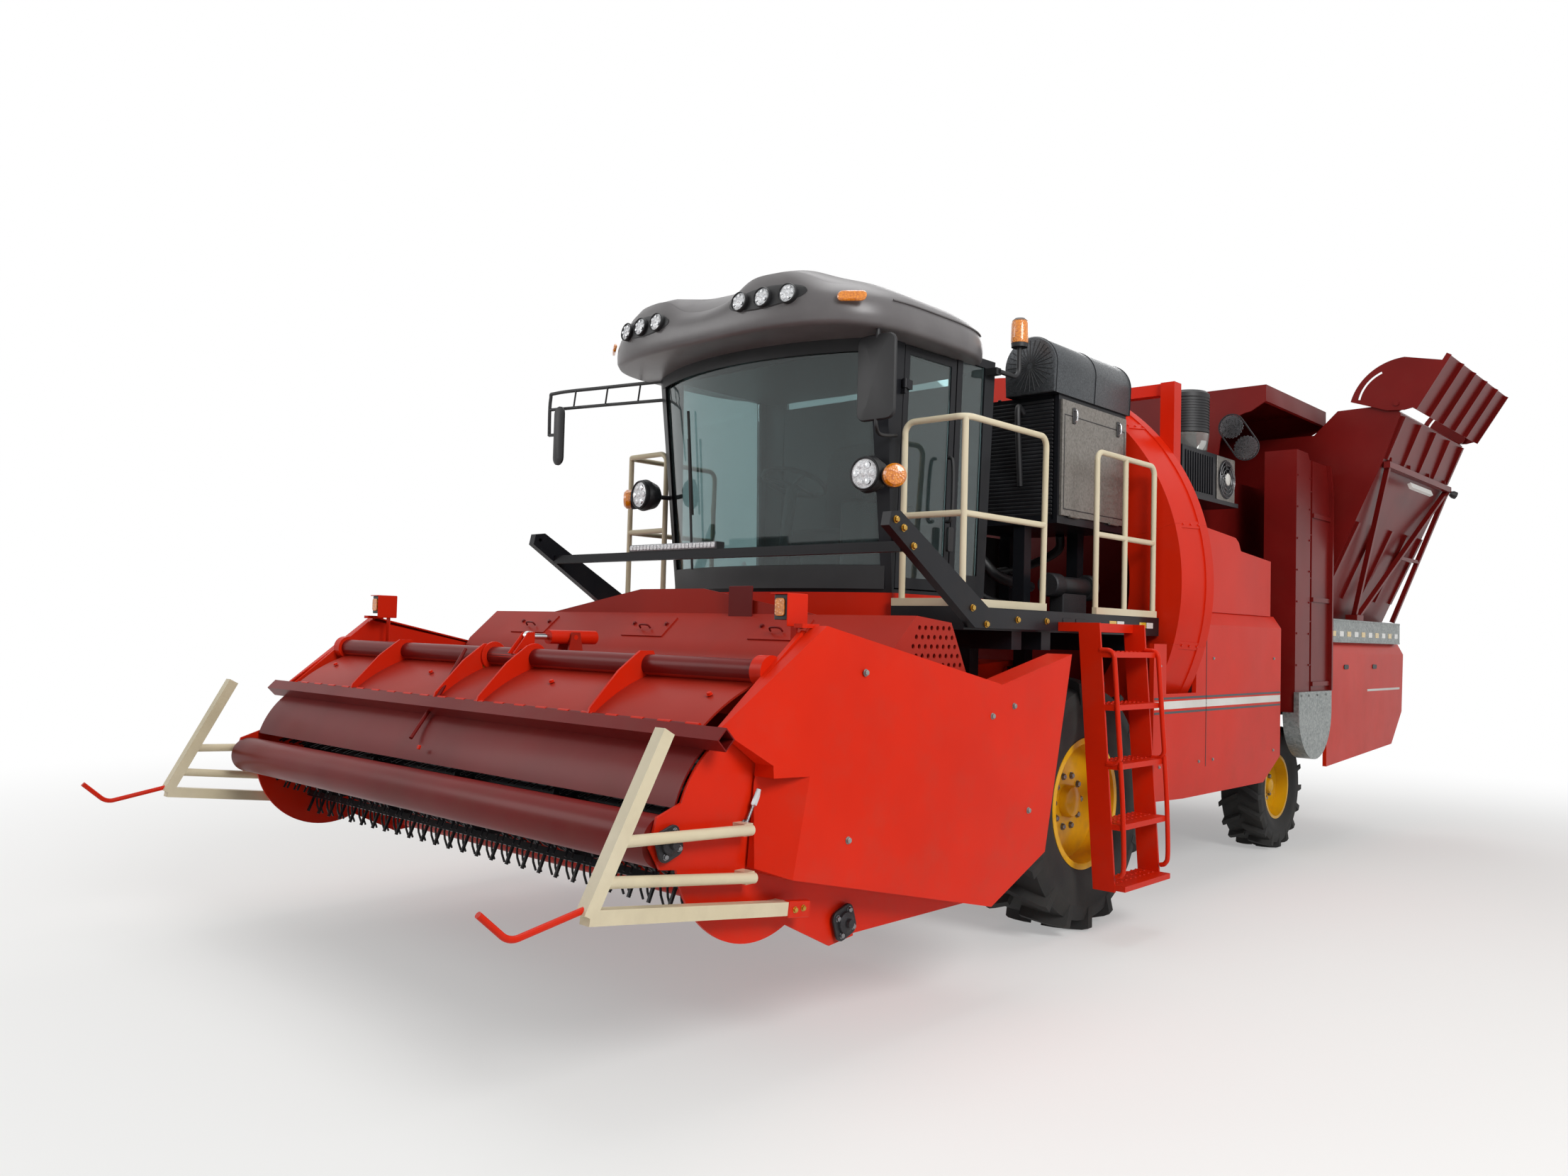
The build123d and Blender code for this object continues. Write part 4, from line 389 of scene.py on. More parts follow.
# Moulded rubber greys in patches, vacuum-formed ABS has a satin sheen, and the screen's mesh is coarse to show.
RUBBER = Moulded("tyre_rubber", "#161616", "#25231F", 0.8, 3.0, 0.6)
ROOF = Moulded("roof_abs", "#5F5C5D", "#686566", 0.36, 1.2, 0.12)
PLASTIC = Moulded("black_plastic", "#141416", "#1E1E21", 0.5)
SCREEN = Moulded("dust_screen", "#1A1B1D", "#303236", 0.6, 4.0, 1.2)
# Float glass with a green-grey tint, and the pre-cleaner's clear polycarbonate bowl with dust in it.
GLASS = Glazing("tinted_glass", "#A3B8B9", "#AEC1C1", 0.02, 0.95)
CLEAR = Glazing("clear_bowl", "#C8CCCB", "#B9B4A8", 0.08, 0.75)
# Pressed lenses and prismatic tape, which look bright without being lit. The lenses glow faintly; the tape's faint glow
# is painted glow.
LAMP = LampLens("lamp_lens", "#F3F4F6", "#A9ADB3", 0.15)
AMBER = LampLens("amber_lens", "#F0920E", "#B85E06", 0.2, 11.0, 0.12)
WHITE_TAPE_PAINTED_GLOW = LampLens("white_tape_painted_glow", "#F2F2EE", "#C9CAC6", 0.3, 5.0, 0.05)
YELLOW_TAPE_PAINTED_GLOW = LampLens("yellow_tape_painted_glow", "#F0C419", "#C39A10", 0.3, 5.0, 0.05)
# Dark woven cloth, which takes no highlight.
CLOTH = Woven("seat_cloth", "#17181B", "#33353B", 0.85)

# The hood takes the orange red with painted half shade; roller, cover, separator, tower, transfer hood, bin, flap and
# truss take it with painted shade.
NODE_FINISHES: dict[str, Finish] = {
    "chassis_frame": BLACK, "deck_supports": BLACK, "front_axle": BLACK, "rear_axle": BLACK, "knuckle_left": BLACK,
    "knuckle_right": BLACK, "header_frame": RED, "feeder_house": RED, "drum_cover": RED_IN_PAINTED_SHADE,
    "header_hood": RED_IN_PAINTED_HALF_SHADE, "tine_drum": BLACK, "front_roller": RED_IN_PAINTED_SHADE, "end_shields": RED, "dividers": CREAM,
    "cover_barrel": RED, "cover_rod": CHROME, "lift_barrels": BLACK, "lift_rods": CHROME, "cab_base": RED,
    "cab_shell": BLACK, "cab_glass": GLASS, "cab_door": BLACK, "door_glass": GLASS, "cab_roof": ROOF,
    "cab_interior": PLASTIC, "platform_decks": BLACK, "guard_rails": CREAM, "ladder": RED, "guard_arms": BLACK,
    "guard_bar": BLACK, "engine_block": IRON, "radiator_box": BLACK, "radiator_door": SHEET, "lift_housing": RED,
    "side_panels": RED, "rear_panels": RED, "side_tank": RED, "separator": RED_IN_PAINTED_SHADE, "portal": RED,
    "cooler": BLACK, "pre_cleaner": PLASTIC, "elevator_tower": RED_IN_PAINTED_SHADE, "elevator_boot": ZINC,
    "transfer_hood": RED_IN_PAINTED_SHADE, "belt_drive": BLACK, "bin_shell": RED_IN_PAINTED_SHADE, "rear_deck": ZINC,
    "unload_flap": RED_IN_PAINTED_SHADE, "unload_truss": RED_IN_PAINTED_SHADE, "mirrors": PLASTIC, "lamps": PLASTIC,
    "front_tyre_left": RUBBER, "front_tyre_right": RUBBER, "rear_tyre_left": RUBBER, "rear_tyre_right": RUBBER,
    "front_rim_left": YELLOW, "front_rim_right": YELLOW, "rear_rim_left": YELLOW, "rear_rim_right": YELLOW,
}


# ---------------------------------------------------------------- shapes
@dataclass
class Shell:
    """A closed surface of quads and end triangles in one finish."""

    points: np.ndarray
    quads: np.ndarray
    tris: np.ndarray
    finish: Finish


def stacked(rings: np.ndarray, finish: Finish, endless: bool = False) -> Shell:
    """Join closed rings of points into a shell, closing its first and last ring with a fan.

    The surface is a grid of two parameters, the ring's number and the place round the ring. The signed volume
    under all its faces, a third of the sum of each corner's dot product with the cross product of the other
    two, says whether they point inwards, and then every face is turned.

    Args:
        rings: Array of rings, points per ring and 3 coordinates in metres.
        finish: The shell's finish.
        endless: Joins the last ring to the first instead of closing both.

    Returns:
        The shell with its faces pointing outwards.
    """
    count, around = rings.shape[:2]
    points = rings.reshape(-1, 3)
    rows = np.arange(count if endless else count - 1)[:, None]
    cols = np.arange(around)[None, :]
    after_row, after_col = (rows + 1) % count, (cols + 1) % around
    quads = np.stack([rows * around + cols, rows * around + after_col, after_row * around + after_col,
                      after_row * around + cols], axis=-1).reshape(-1, 4)
    tris = np.zeros((0, 3), int)
    if not endless:
        middles = rings[[0, -1]].mean(axis=1)
        points = np.vstack([points, middles])
        edge, ahead = np.arange(around), (np.arange(around) + 1) % around
        last = (count - 1) * around
        first_fan = np.stack([ahead, edge, np.full(around, count * around)], axis=-1)
        last_fan = np.stack([last + edge, last + ahead, np.full(around, count * around + 1)], axis=-1)
        tris = np.vstack([first_fan, last_fan])
    centred = points - points.mean(axis=0)
    fans = np.vstack([quads[:, :3], quads[:, [0, 2, 3]], tris])
    a, b, c = (centred[fans[:, i]] for i in range(3))
    if np.einsum("ij,ij->", a, np.cross(b, c)) < 0:
        quads, tris = quads[:, ::-1], tris[:, ::-1]
    return Shell(points, quads, tris, finish)


def frame_of(direction: np.ndarray) -> tuple[np.ndarray, np.ndarray, np.ndarray]:
    """Direction and two directions square to it and to each other, all of length 1.

    Args:
        direction: Any vector but zero.

    Returns:
        The unit direction and the two vectors beside it.
    """
    along = np.asarray(direction, float)
    along = along / np.linalg.norm(along)
    helper = np.eye(3)[np.argmin(np.abs(along))]
    side = np.cross(helper, along)
    side /= np.linalg.norm(side)
    return along, side, np.cross(along, side)


def turned(profile: list[tuple[float, float]], origin: Point,
           direction: Point, finish: Finish, sides: int = 24, endless: bool = False) -> Shell:
    """Turn a profile of (distance along, radius) round an axis: each point runs round its own circle.

    Args:
        profile: Distances along the axis and radii, in metres.
        origin: Where the distance is 0.
        direction: The axis.
        finish: The shell's finish.
        sides: Points round each circle.
        endless: The profile closes on itself, as a tyre's does, and no disc shuts its ends.

    Returns:
        The turned shell.
    """
    along, side, up = frame_of(np.array(direction))
    rows = np.array(profile, float)
    angles = np.linspace(0, 2 * np.pi, sides, endpoint=False)
    circle = np.cos(angles)[:, None] * side + np.sin(angles)[:, None] * up
    rings = (np.array(origin) + rows[:, 0, None, None] * along
             + np.maximum(rows[:, 1], 1e-4)[:, None, None] * circle[None])
    return stacked(rings, finish, endless)


def rounded_outline(half_u: float, half_v: float, corner: float, steps: int = 5) -> np.ndarray:
    """Outline of a rectangle with round corners: four quarter circles, one round each corner's centre.

    Args:
        half_u: Half the first side.
        half_v: Half the second side.
        corner: Corner radius.
        steps: Points on each quarter circle.

    Returns:
        Array of outline points in two axes.
    """
    quarter = np.linspace(0, np.pi / 2, steps)
    angles = np.concatenate([quarter + k * np.pi / 2 for k in range(4)])
    signs = np.repeat(np.array([[1, 1], [-1, 1], [-1, -1], [1, -1]], float), steps, axis=0)
    return (signs * np.array([half_u - corner, half_v - corner])
            + corner * np.stack([np.cos(angles), np.sin(angles)], axis=-1))


def plate(centre: Point, u: Point, v: Point,
          size: Point, finish: Finish, corner: float = 0.006, edge: float = 0.002,
          crown: float = 0.0) -> Shell:
    """Plate or block with round corners and softened edges.

    Its outline is a rounded rectangle in the directions u and v. The rings rise along their cross product, the
    outer ones drawn in by the edge's width, and the last may rise to a crown.

    Args:
        centre: Middle of the face the plate stands on.
        u: Direction of its first side.
        v: Direction of its second side.
        size: Lengths along u and v, and its thickness.
        finish: Its finish.
        corner: Corner radius.
        edge: Width of the softened edge.
        crown: How far the middle of its top stands over the edge.

    Returns:
        The plate.
    """
    u_dir, v_dir = np.array(u, float), np.array(v, float)
    u_dir, v_dir = u_dir / np.linalg.norm(u_dir), v_dir / np.linalg.norm(v_dir)
    w_dir = np.cross(u_dir, v_dir)
    thick = size[2]
    levels = [(0.0, edge), (edge, 0.0), (thick - edge, 0.0), (thick, edge)]
    if crown:
        levels.append((thick + crown, min(size[0], size[1]) * 0.3))
    rings = []
    for rise, inset in levels:
        flat = rounded_outline(size[0] / 2 - inset, size[1] / 2 - inset, max(corner - inset, 0.0005))
        rings.append(np.array(centre) + flat[:, :1] * u_dir + flat[:, 1:] * v_dir + rise * w_dir)
    return stacked(np.array(rings), finish)


def carried(path: np.ndarray, section: np.ndarray, finish: Finish, endless: bool = False) -> Shell:
    """Carry a flat section along a path.

    The section's first axis lies square to the path in the plane where the path's directions vary least, and
    its second is square to both, so a flat path carries it without twist.

    Args:
        path: Points in metres.
        section: Outline points in the two axes.
        finish: The shell's finish.
        endless: The path closes on itself.

    Returns:
        The carried shell.
    """
    path = np.asarray(path, float)
    if endless:
        tangents = np.roll(path, -1, axis=0) - np.roll(path, 1, axis=0)
    else:
        tangents = np.gradient(path, axis=0)
    tangents /= np.linalg.norm(tangents, axis=1)[:, None]
    _, _, axes = np.linalg.svd(tangents)
    binormal = np.cross(tangents, np.cross(axes[2], tangents))
    binormal /= np.linalg.norm(binormal, axis=1)[:, None]
    normal = np.cross(binormal, tangents)
    rings = path[:, None] + section[None, :, :1] * normal[:, None] + section[None, :, 1:] * binormal[:, None]
    return stacked(rings, finish, endless)


def circle_section(radius: float, sides: int = 12) -> np.ndarray:
    """Points round a circle, as a section to carry."""
    angles = np.linspace(0, 2 * np.pi, sides, endpoint=False)
    return radius * np.stack([np.cos(angles), np.sin(angles)], axis=-1)


def eased(corners: list[Point], per_run: int = 8) -> np.ndarray:
    """Smooth path through corners: the Catmull-Rom cubic, whose slope at a corner is half the step over it.

    Args:
        corners: The points to pass through, in metres.
        per_run: Points worked out on each run.

    Returns:
        The path's points.
    """
    p = np.array([corners[0], *corners, corners[-1]], float)
    t = np.linspace(0, 1, per_run, endpoint=False)[None, :, None]
    a, b, c, d = p[:-3, None], p[1:-2, None], p[2:-1, None], p[3:, None]
    runs = 0.5 * (2 * b + (c - a) * t + (2 * a - 5 * b + 4 * c - d) * t ** 2 + (3 * b - a - 3 * c + d) * t ** 3)
    return np.vstack([runs.reshape(-1, 3), p[-1:]])


def signed_power(value: np.ndarray, power: float) -> np.ndarray:
    """Raise each value's size to a power and keep its sign."""
    return np.sign(value) * np.abs(value) ** power


def strip_section(half_thick: float, half_wide: float) -> np.ndarray:
    """Rectangle as a section to carry, its thickness first."""
    return np.array([[-half_thick, -half_wide], [half_thick, -half_wide], [half_thick, half_wide],
                     [-half_thick, half_wide]])


def pipe(corners: list[Point], radius: float, finish: Finish, smooth: bool = True,
         sides: int = 12) -> Shell:
    """Round bar or pipe along corners, eased through them or straight between two."""
    path = eased(corners) if smooth and len(corners) > 2 else np.array(corners, float)
    return carried(path, circle_section(radius, sides), finish)


def bolt(place: Point, direction: Point, size: float,
         finish: Finish) -> list[Shell]:
    """Hexagon bolt head on its washer: a six-sided turned head with a domed top.

    Args:
        place: Where the washer lies, in metres.
        direction: The way the head points.
        size: Width of the head.
        finish: Its finish.

    Returns:
        The washer and the head.
    """
    washer = turned([(0, size * 0.62), (size * 0.1, size * 0.62), (size * 0.12, size * 0.5)], place, direction,
                    finish, 12)
    head = turned([(size * 0.1, size * 0.5), (size * 0.42, size * 0.5), (size * 0.5, size * 0.42)], place,
                  direction, finish, 6)
    return [washer, head]


class Placement:
    """Where the machine's own axes lie in the frame, and how shells become objects that ride on bodies."""

    def __init__(self) -> None:
        """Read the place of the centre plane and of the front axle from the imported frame."""
        low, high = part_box("front_axle")
        rim_low, rim_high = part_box("front_rim_left")
        self.shift = np.array([(low.x + high.x) / 2, (rim_low.y + rim_high.y) / 2, 0.0])
        self.made = 0

    def piece(self, name: str, shells: list[Shell], body: str, sharp_deg: float = 35.0) -> bpy.types.Object:
        """Make one object from shells and let it ride on a body.

        Args:
            name: The object's name.
            shells: Its shells, in metres on the machine's axes.
            body: The body that carries it.
            sharp_deg: Edges sharper than this angle stay crisp.

        Returns:
            The object.
        """
        finishes: list[Finish] = []
        points, faces, looks, start = [], [], [], 0
        for shell in shells:
            if shell.finish not in finishes:
                finishes.append(shell.finish)
            points.append(shell.points)
            faces += (shell.quads + start).tolist() + (shell.tris + start).tolist()
            looks.append(np.full(len(shell.quads) + len(shell.tris), finishes.index(shell.finish)))
            start += len(shell.points)
        mesh = bpy.data.meshes.new(name)
        mesh.from_pydata((np.vstack(points) + self.shift).tolist(), [], faces)
        mesh.polygons.foreach_set("material_index", np.concatenate(looks).astype(np.int32))
        mesh.polygons.foreach_set("use_smooth", np.ones(len(faces), bool))
        mesh.set_sharp_from_angle(angle=math.radians(sharp_deg))
        for finish in finishes:
            mesh.materials.append(finish.material())
        made = bpy.data.objects.new(name, mesh)
        bpy.context.scene.collection.objects.link(made)
        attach(made, body)
        self.made += 1
        LOG.info("%s: %d faces on %s", name, len(faces), body)
        return made


# ---------------------------------------------------------------- sub-assemblies
@dataclass
class Wheel:
    """One wheel: a treaded tyre, and the nuts, hub cap and valve on its rim."""

    place: Placement
    name: str
    centre: Point
    radius: float
    width: float
    rim_radius: float
    lug_height: float
    lugs: int
    nuts: int
    nut_circle: float
    disc_x: float
    left: bool

    def carcass(self) -> Shell:
        """Tyre body turned from a profile of bead, bulging wall with two mould rings, shoulder and crown.

        Returns:
            The tyre's body.
        """
        half, rim = self.width / 2, self.rim_radius
        crown = self.radius - self.lug_height
        wall = [(half * 0.82, rim - 0.012), (half * 0.86, rim + 0.012), (half * 0.93, rim + 0.035),
                (half * 0.99, rim + (crown - rim) * 0.35), (half, rim + (crown - rim) * 0.5),
                (half * 0.985, rim + (crown - rim) * 0.66), (half * 0.995, rim + (crown - rim) * 0.68),
                (half * 0.975, rim + (crown - rim) * 0.8), (half * 0.92, crown - 0.012), (half * 0.6, crown - 0.003)]
        profile = wall + [(0.0, crown)] + [(-x, r) for x, r in reversed(wall)]
        return turned(profile, self.centre, LEFTWARD, RUBBER, 72, True)

    def tread(self) -> list[Shell]:
        """Two rows of bars, each a ring stack that runs from the middle to the shoulder and bends over it.

        A bar's middle line turns back round the axle by a slant that grows with the distance from the middle.
        All the bars of a row come from one array, the first bar turned by equal angles.

        Returns:
            One shell per bar.
        """
        half, crown = self.width / 2, self.radius - self.lug_height
        steps = np.array([0.02, 0.3, 0.6, 0.88, 1.0, 1.0])
        top = self.radius - np.array([0.0, 0.0, 0.002, 0.006, 0.014, 0.02])
        root = crown - np.array([0.012, 0.012, 0.014, 0.04, 0.085, 0.085])
        wide = np.array([0.018, 0.02, 0.022, 0.024, 0.024, 0.022]) * (0.55 + 0.45 * self.radius / 0.72)
        slant = 0.62 * half / self.radius * steps ** 1.15
        shells = []
        for side, phase in ((1, 0.0), (-1, 0.5)):
            for number in range(self.lugs):
                turn = 2 * np.pi * (number + phase) / self.lugs
                spread = np.stack([-wide * 1.15, -wide, wide, wide * 1.15], axis=-1) / self.radius
                angle = turn + slant[:, None] + spread
                reach = np.stack([root, top, top, root], axis=-1)
                x = np.repeat((side * half * steps)[:, None], 4, axis=1)
                rings = np.stack([x, -np.sin(angle) * reach, np.cos(angle) * reach], axis=-1)
                shells.append(stacked(rings + np.array(self.centre), RUBBER))
        return shells

    def fittings(self) -> list[Shell]:
        """Ring of wheel nuts, hub cap and valve on the disc's outside.

        Returns:
            Their shells.
        """
        out = 1 if self.left else -1
        x = self.centre[0] + out * self.disc_x
        shells: list[Shell] = []
        for number in range(self.nuts):
            angle = 2 * math.pi * number / self.nuts
            spot = (x, self.centre[1] + self.nut_circle * math.cos(angle),
                    self.centre[2] + self.nut_circle * math.sin(angle))
            shells += bolt(spot, (out, 0, 0), 0.034, STEEL)
        cap = self.nut_circle * 0.62
        shells.append(turned([(0, cap), (0.03, cap), (0.045, cap * 0.9), (0.055, cap * 0.5), (0.058, 0)],
                             (x, self.centre[1], self.centre[2]), (out, 0, 0), YELLOW, 32))
        shells.append(turned([(0, 0.006), (0.03, 0.005), (0.035, 0.003)],
                             (x, self.centre[1], self.centre[2] + self.rim_radius * 0.8), (out, 0, 0.3), PLASTIC, 10))
        return shells

    def build(self) -> None:
        """Make the tyre in place of the CAD one, and the fittings."""
        body = f"{self.name}_wheel_{'left' if self.left else 'right'}"
        node = f"{self.name}_tyre_{'left' if self.left else 'right'}"
        tyre = self.place.piece(f"{node}_treaded", [self.carcass(), *self.tread()], body, 40)
        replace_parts(tyre, node)
        self.place.piece(f"{body}_nuts", self.fittings(), body)


@dataclass
class Header:
    """Bearings, struts, lamps, hinges and bolts on the picking header and its drum cover."""

    place: Placement
    plate_face: float = 1.712
    shield_face: float = 1.85
    shield_step: float = 0.028
    roller: tuple[float, float] = (-3.42, 0.92)
    belt_roller: tuple[float, float] = (-2.47, 0.50)
    pivot: tuple[float, float] = (-2.90, 1.50)
    pivot_radius: float = 0.045
    disc_x: float = 0.166
    hinge: tuple[float, float] = (-3.2, 1.306)
    hinge_half: float = 1.6
    knuckles: int = 21
    knuckle_pitch: float = 0.155

    def bearing(self, x: float, y: float, z: float, out: int, size: float) -> list[Shell]:
        """Four-bolt flange bearing with its shaft end, on a vertical plate that faces sideways.

        Args:
            x: Place of the plate's face.
            y: Depth of the shaft's axis.
            z: Height of the shaft's axis.
            out: 1 where the plate faces left, -1 where it faces right.
            size: Radius of the flange.

        Returns:
            The flange, the shaft end and the bolts.
        """
        shells = [plate((x, y, z), (0, 1, 0.35), (0, -0.35, 1), (size * 1.5, size * 1.5, 0.012 * out), IRON,
                        size * 0.4),
                  turned([(0, size * 0.55), (0.022, size * 0.5), (0.03, size * 0.3), (0.03, size * 0.22),
                          (0.045, size * 0.2), (0.046, 0)], (x, y, z), (out, 0, 0), IRON, 20)]
        for number in range(4):
            angle = math.pi / 4 + number * math.pi / 2 + 0.35
            spot = (x + out * 0.012, y + size * 0.62 * math.cos(angle), z + size * 0.62 * math.sin(angle))
            shells += bolt(spot, (out, 0, 0), size * 0.26, STEEL)
        return shells

    def turnbuckle(self, side: int) -> list[Shell]:
        """Tension screw between the end plate and the shield: two rods, a hexagon body and an eye.

        Args:
            side: 1 for the left, -1 for the right.

        Returns:
            The body, the screw and the two eye bolts.
        """
        low = np.array((side * 1.722, -3.05, 0.95))
        high = np.array((side * 1.722, -2.955, 1.13))
        along = tuple(high - low)
        shells = [turned([(0.07, 0.008), (0.075, 0.013), (0.135, 0.013), (0.14, 0.008)], tuple(low), along, CHROME, 6),
                  turned([(-0.012, 0.006), (0.215, 0.006)], tuple(low), along, STEEL, 10)]
        for spot in (low, high):
            shells += bolt((spot[0] - side * 0.01, spot[1], spot[2]), (side, 0, 0), 0.026, STEEL)
        return shells

    def corner_lamp(self, side: int) -> list[Shell]:
        """Marker lamp in its red bracket on top of the shield's front corner.

        Args:
            side: 1 for the left, -1 for the right.

        Returns:
            Stalk, case, lens and the bracket's side and roof.
        """
        x, y, z = side * 1.6, -2.69, 1.70
        return [plate((x, y + 0.012, z - 0.09), LEFTWARD, UPWARD, (0.035, 0.24, 0.008), RED, 0.004),
                plate((x, y - 0.03, z), LEFTWARD, REARWARD, (0.075, 0.09, 0.1), PLASTIC, 0.01),
                plate((x, y - 0.075, z + 0.05), LEFTWARD, UPWARD, (0.05, 0.07, 0.008), AMBER, 0.012),
                plate((x + 0.042, y - 0.025, z + 0.04), REARWARD, UPWARD, (0.12, 0.13, 0.005), RED, 0.006),
                plate((x - 0.002, y - 0.025, z + 0.1), LEFTWARD, REARWARD, (0.094, 0.12, 0.005), RED, 0.006)]

    def side_fittings(self, side: int) -> list[Shell]:
        """Belt roller's bearing, turnbuckle, marker lamp, shield bolts and the divider's foot bracket.

        Args:
            side: 1 for the left, -1 for the right.

        Returns:
            Their shells.
        """
        shells = self.bearing(side * self.plate_face, *self.belt_roller, side, 0.085)
        shells += self.turnbuckle(side)
        shells += self.corner_lamp(side)
        for y, z, inset in ((-2.5, 1.50, self.shield_step), (-1.62, 1.30, 0.0), (-1.44, 1.34, 0.0),
                            (-1.30, 0.85, 0.0), (-2.62, 0.86, 0.0)):
            shells += bolt((side * (self.shield_face - inset), y, z), (side, 0, 0), 0.024, ZINC)
        shells.append(plate((side * 1.70, -2.72, 1.672), REARWARD, LEFTWARD, (0.10, 0.05, -0.012), RED))
        shells.append(plate((side * 1.76, -2.82, 0.618), (0, side, -0.122), (0, 0.122, 1), (0.12, 0.062, 0.028),
                            RED, 0.006))
        for y in (-2.845, -2.80):
            shells += bolt((side * 1.788, y, 0.62), (side, 0, 0), 0.02, PASSIVATED)
        return shells

    def cover_fittings(self) -> list[Shell]:
        """Hinge line along the square tube, stay of the cover, discs on its pivot pipe and screws.

        Returns:
            Their shells.
        """
        y, z = self.hinge
        shells = [pipe([(-self.hinge_half, y, z), (self.hinge_half, y, z)], 0.007, RED_IN_PAINTED_SHADE, False)]
        for number in range(self.knuckles):
            x = -1.55 + number * self.knuckle_pitch
            shells.append(turned([(0, 0.0095), (0.07, 0.0095)], (x, y, z), LEFTWARD, RED, 10))
        shells.append(plate((0.0, -3.385, 1.10), (0, 0.28, 0.96), LEFTWARD, (0.02, 0.02, 0.01), RED))
        shells.append(pipe([(-0.1, -3.365, 1.13), (-0.17, -3.18, 1.33), (-0.26, -3.0, 1.53)], 0.009, RED_IN_PAINTED_SHADE))
        inner, outer, half = self.pivot_radius, self.pivot_radius + 0.025, 0.006
        for out in (-1, 1):
            profile = [(-half, inner), (-half, outer - 0.002), (2 * MM - half, outer), (half - 2 * MM, outer),
                       (half, outer - 0.002), (half, inner)]
            x = out * self.disc_x
            shells.append(turned(profile, (x, *self.pivot), LEFTWARD, RED, 32, endless=True))
            shells += bolt((x + out * half, -2.945, 1.455), (out, 0, 0), 0.022, PASSIVATED)
        for x in (-1.5, -0.5, 0.5, 1.5):
            shells += bolt((x, -3.04, 1.407), (0, -0.4, 0.9), 0.022, RED)
        return shells

    def hood_fittings(self) -> list[Shell]:
        """Handles and screws of the hood's three lids, its clamped pipes and the plate on its crest.

        Returns:
            Their shells.
        """
        shells: list[Shell] = []
        for x in (-1.1, -0.06, 0.9):
            for shift in (-0.13, 0.13):
                shells += bolt((x + shift, -2.0, 1.679), (0, -0.667, 0.745), 0.02, RED_IN_PAINTED_SHADE)
            handle = [(x - 0.04, -2.035, 1.655), (x - 0.03, -2.05, 1.672), (x + 0.03, -2.05, 1.672),
                      (x + 0.04, -2.035, 1.655)]
            shells.append(carried(eased(handle), circle_section(0.005, 8), RED_IN_PAINTED_SHADE))
        first, slope = -2.19, 0.067
        for y, far in ((first, 1.10), (-2.215, 1.02), (-2.24, 0.90)):
            z = 1.4995 - (first - y) * slope
            shells.append(pipe([(-1.30, y, z - 0.03), (-1.27, y, z), (-0.6, y - 0.004, z), (0.1, y, z),
                                (far - 0.03, y + 0.004, z), (far, y, z - 0.03)], 0.0085, PLASTIC))
        for x in (-1.15, -0.55, 0.05, 0.65):
            shells.append(plate((x, -2.215, 1.4905), LEFTWARD, (0, 1, slope), (0.035, 0.11, 0.019), BLACK, 0.004))
        shells.append(plate((0.55, -1.93, 1.80), LEFTWARD, UPWARD, (0.17, 0.16, 0.006), RED_IN_PAINTED_SHADE))
        return shells

    def build(self) -> None:
        """Make the header's fittings and those of the cover."""
        for side, word in ((1, "left"), (-1, "right")):
            self.place.piece(f"header_fittings_{word}", self.side_fittings(side), "header")
            ends = self.bearing(side * self.plate_face, *self.roller, side, 0.075)
            self.place.piece(f"roller_bearing_{word}", ends, "header")
        self.place.piece("cover_hinge_line", self.cover_fittings(), "drum_cover")
        self.place.piece("hood_lids_and_pipes", self.hood_fittings(), "header")


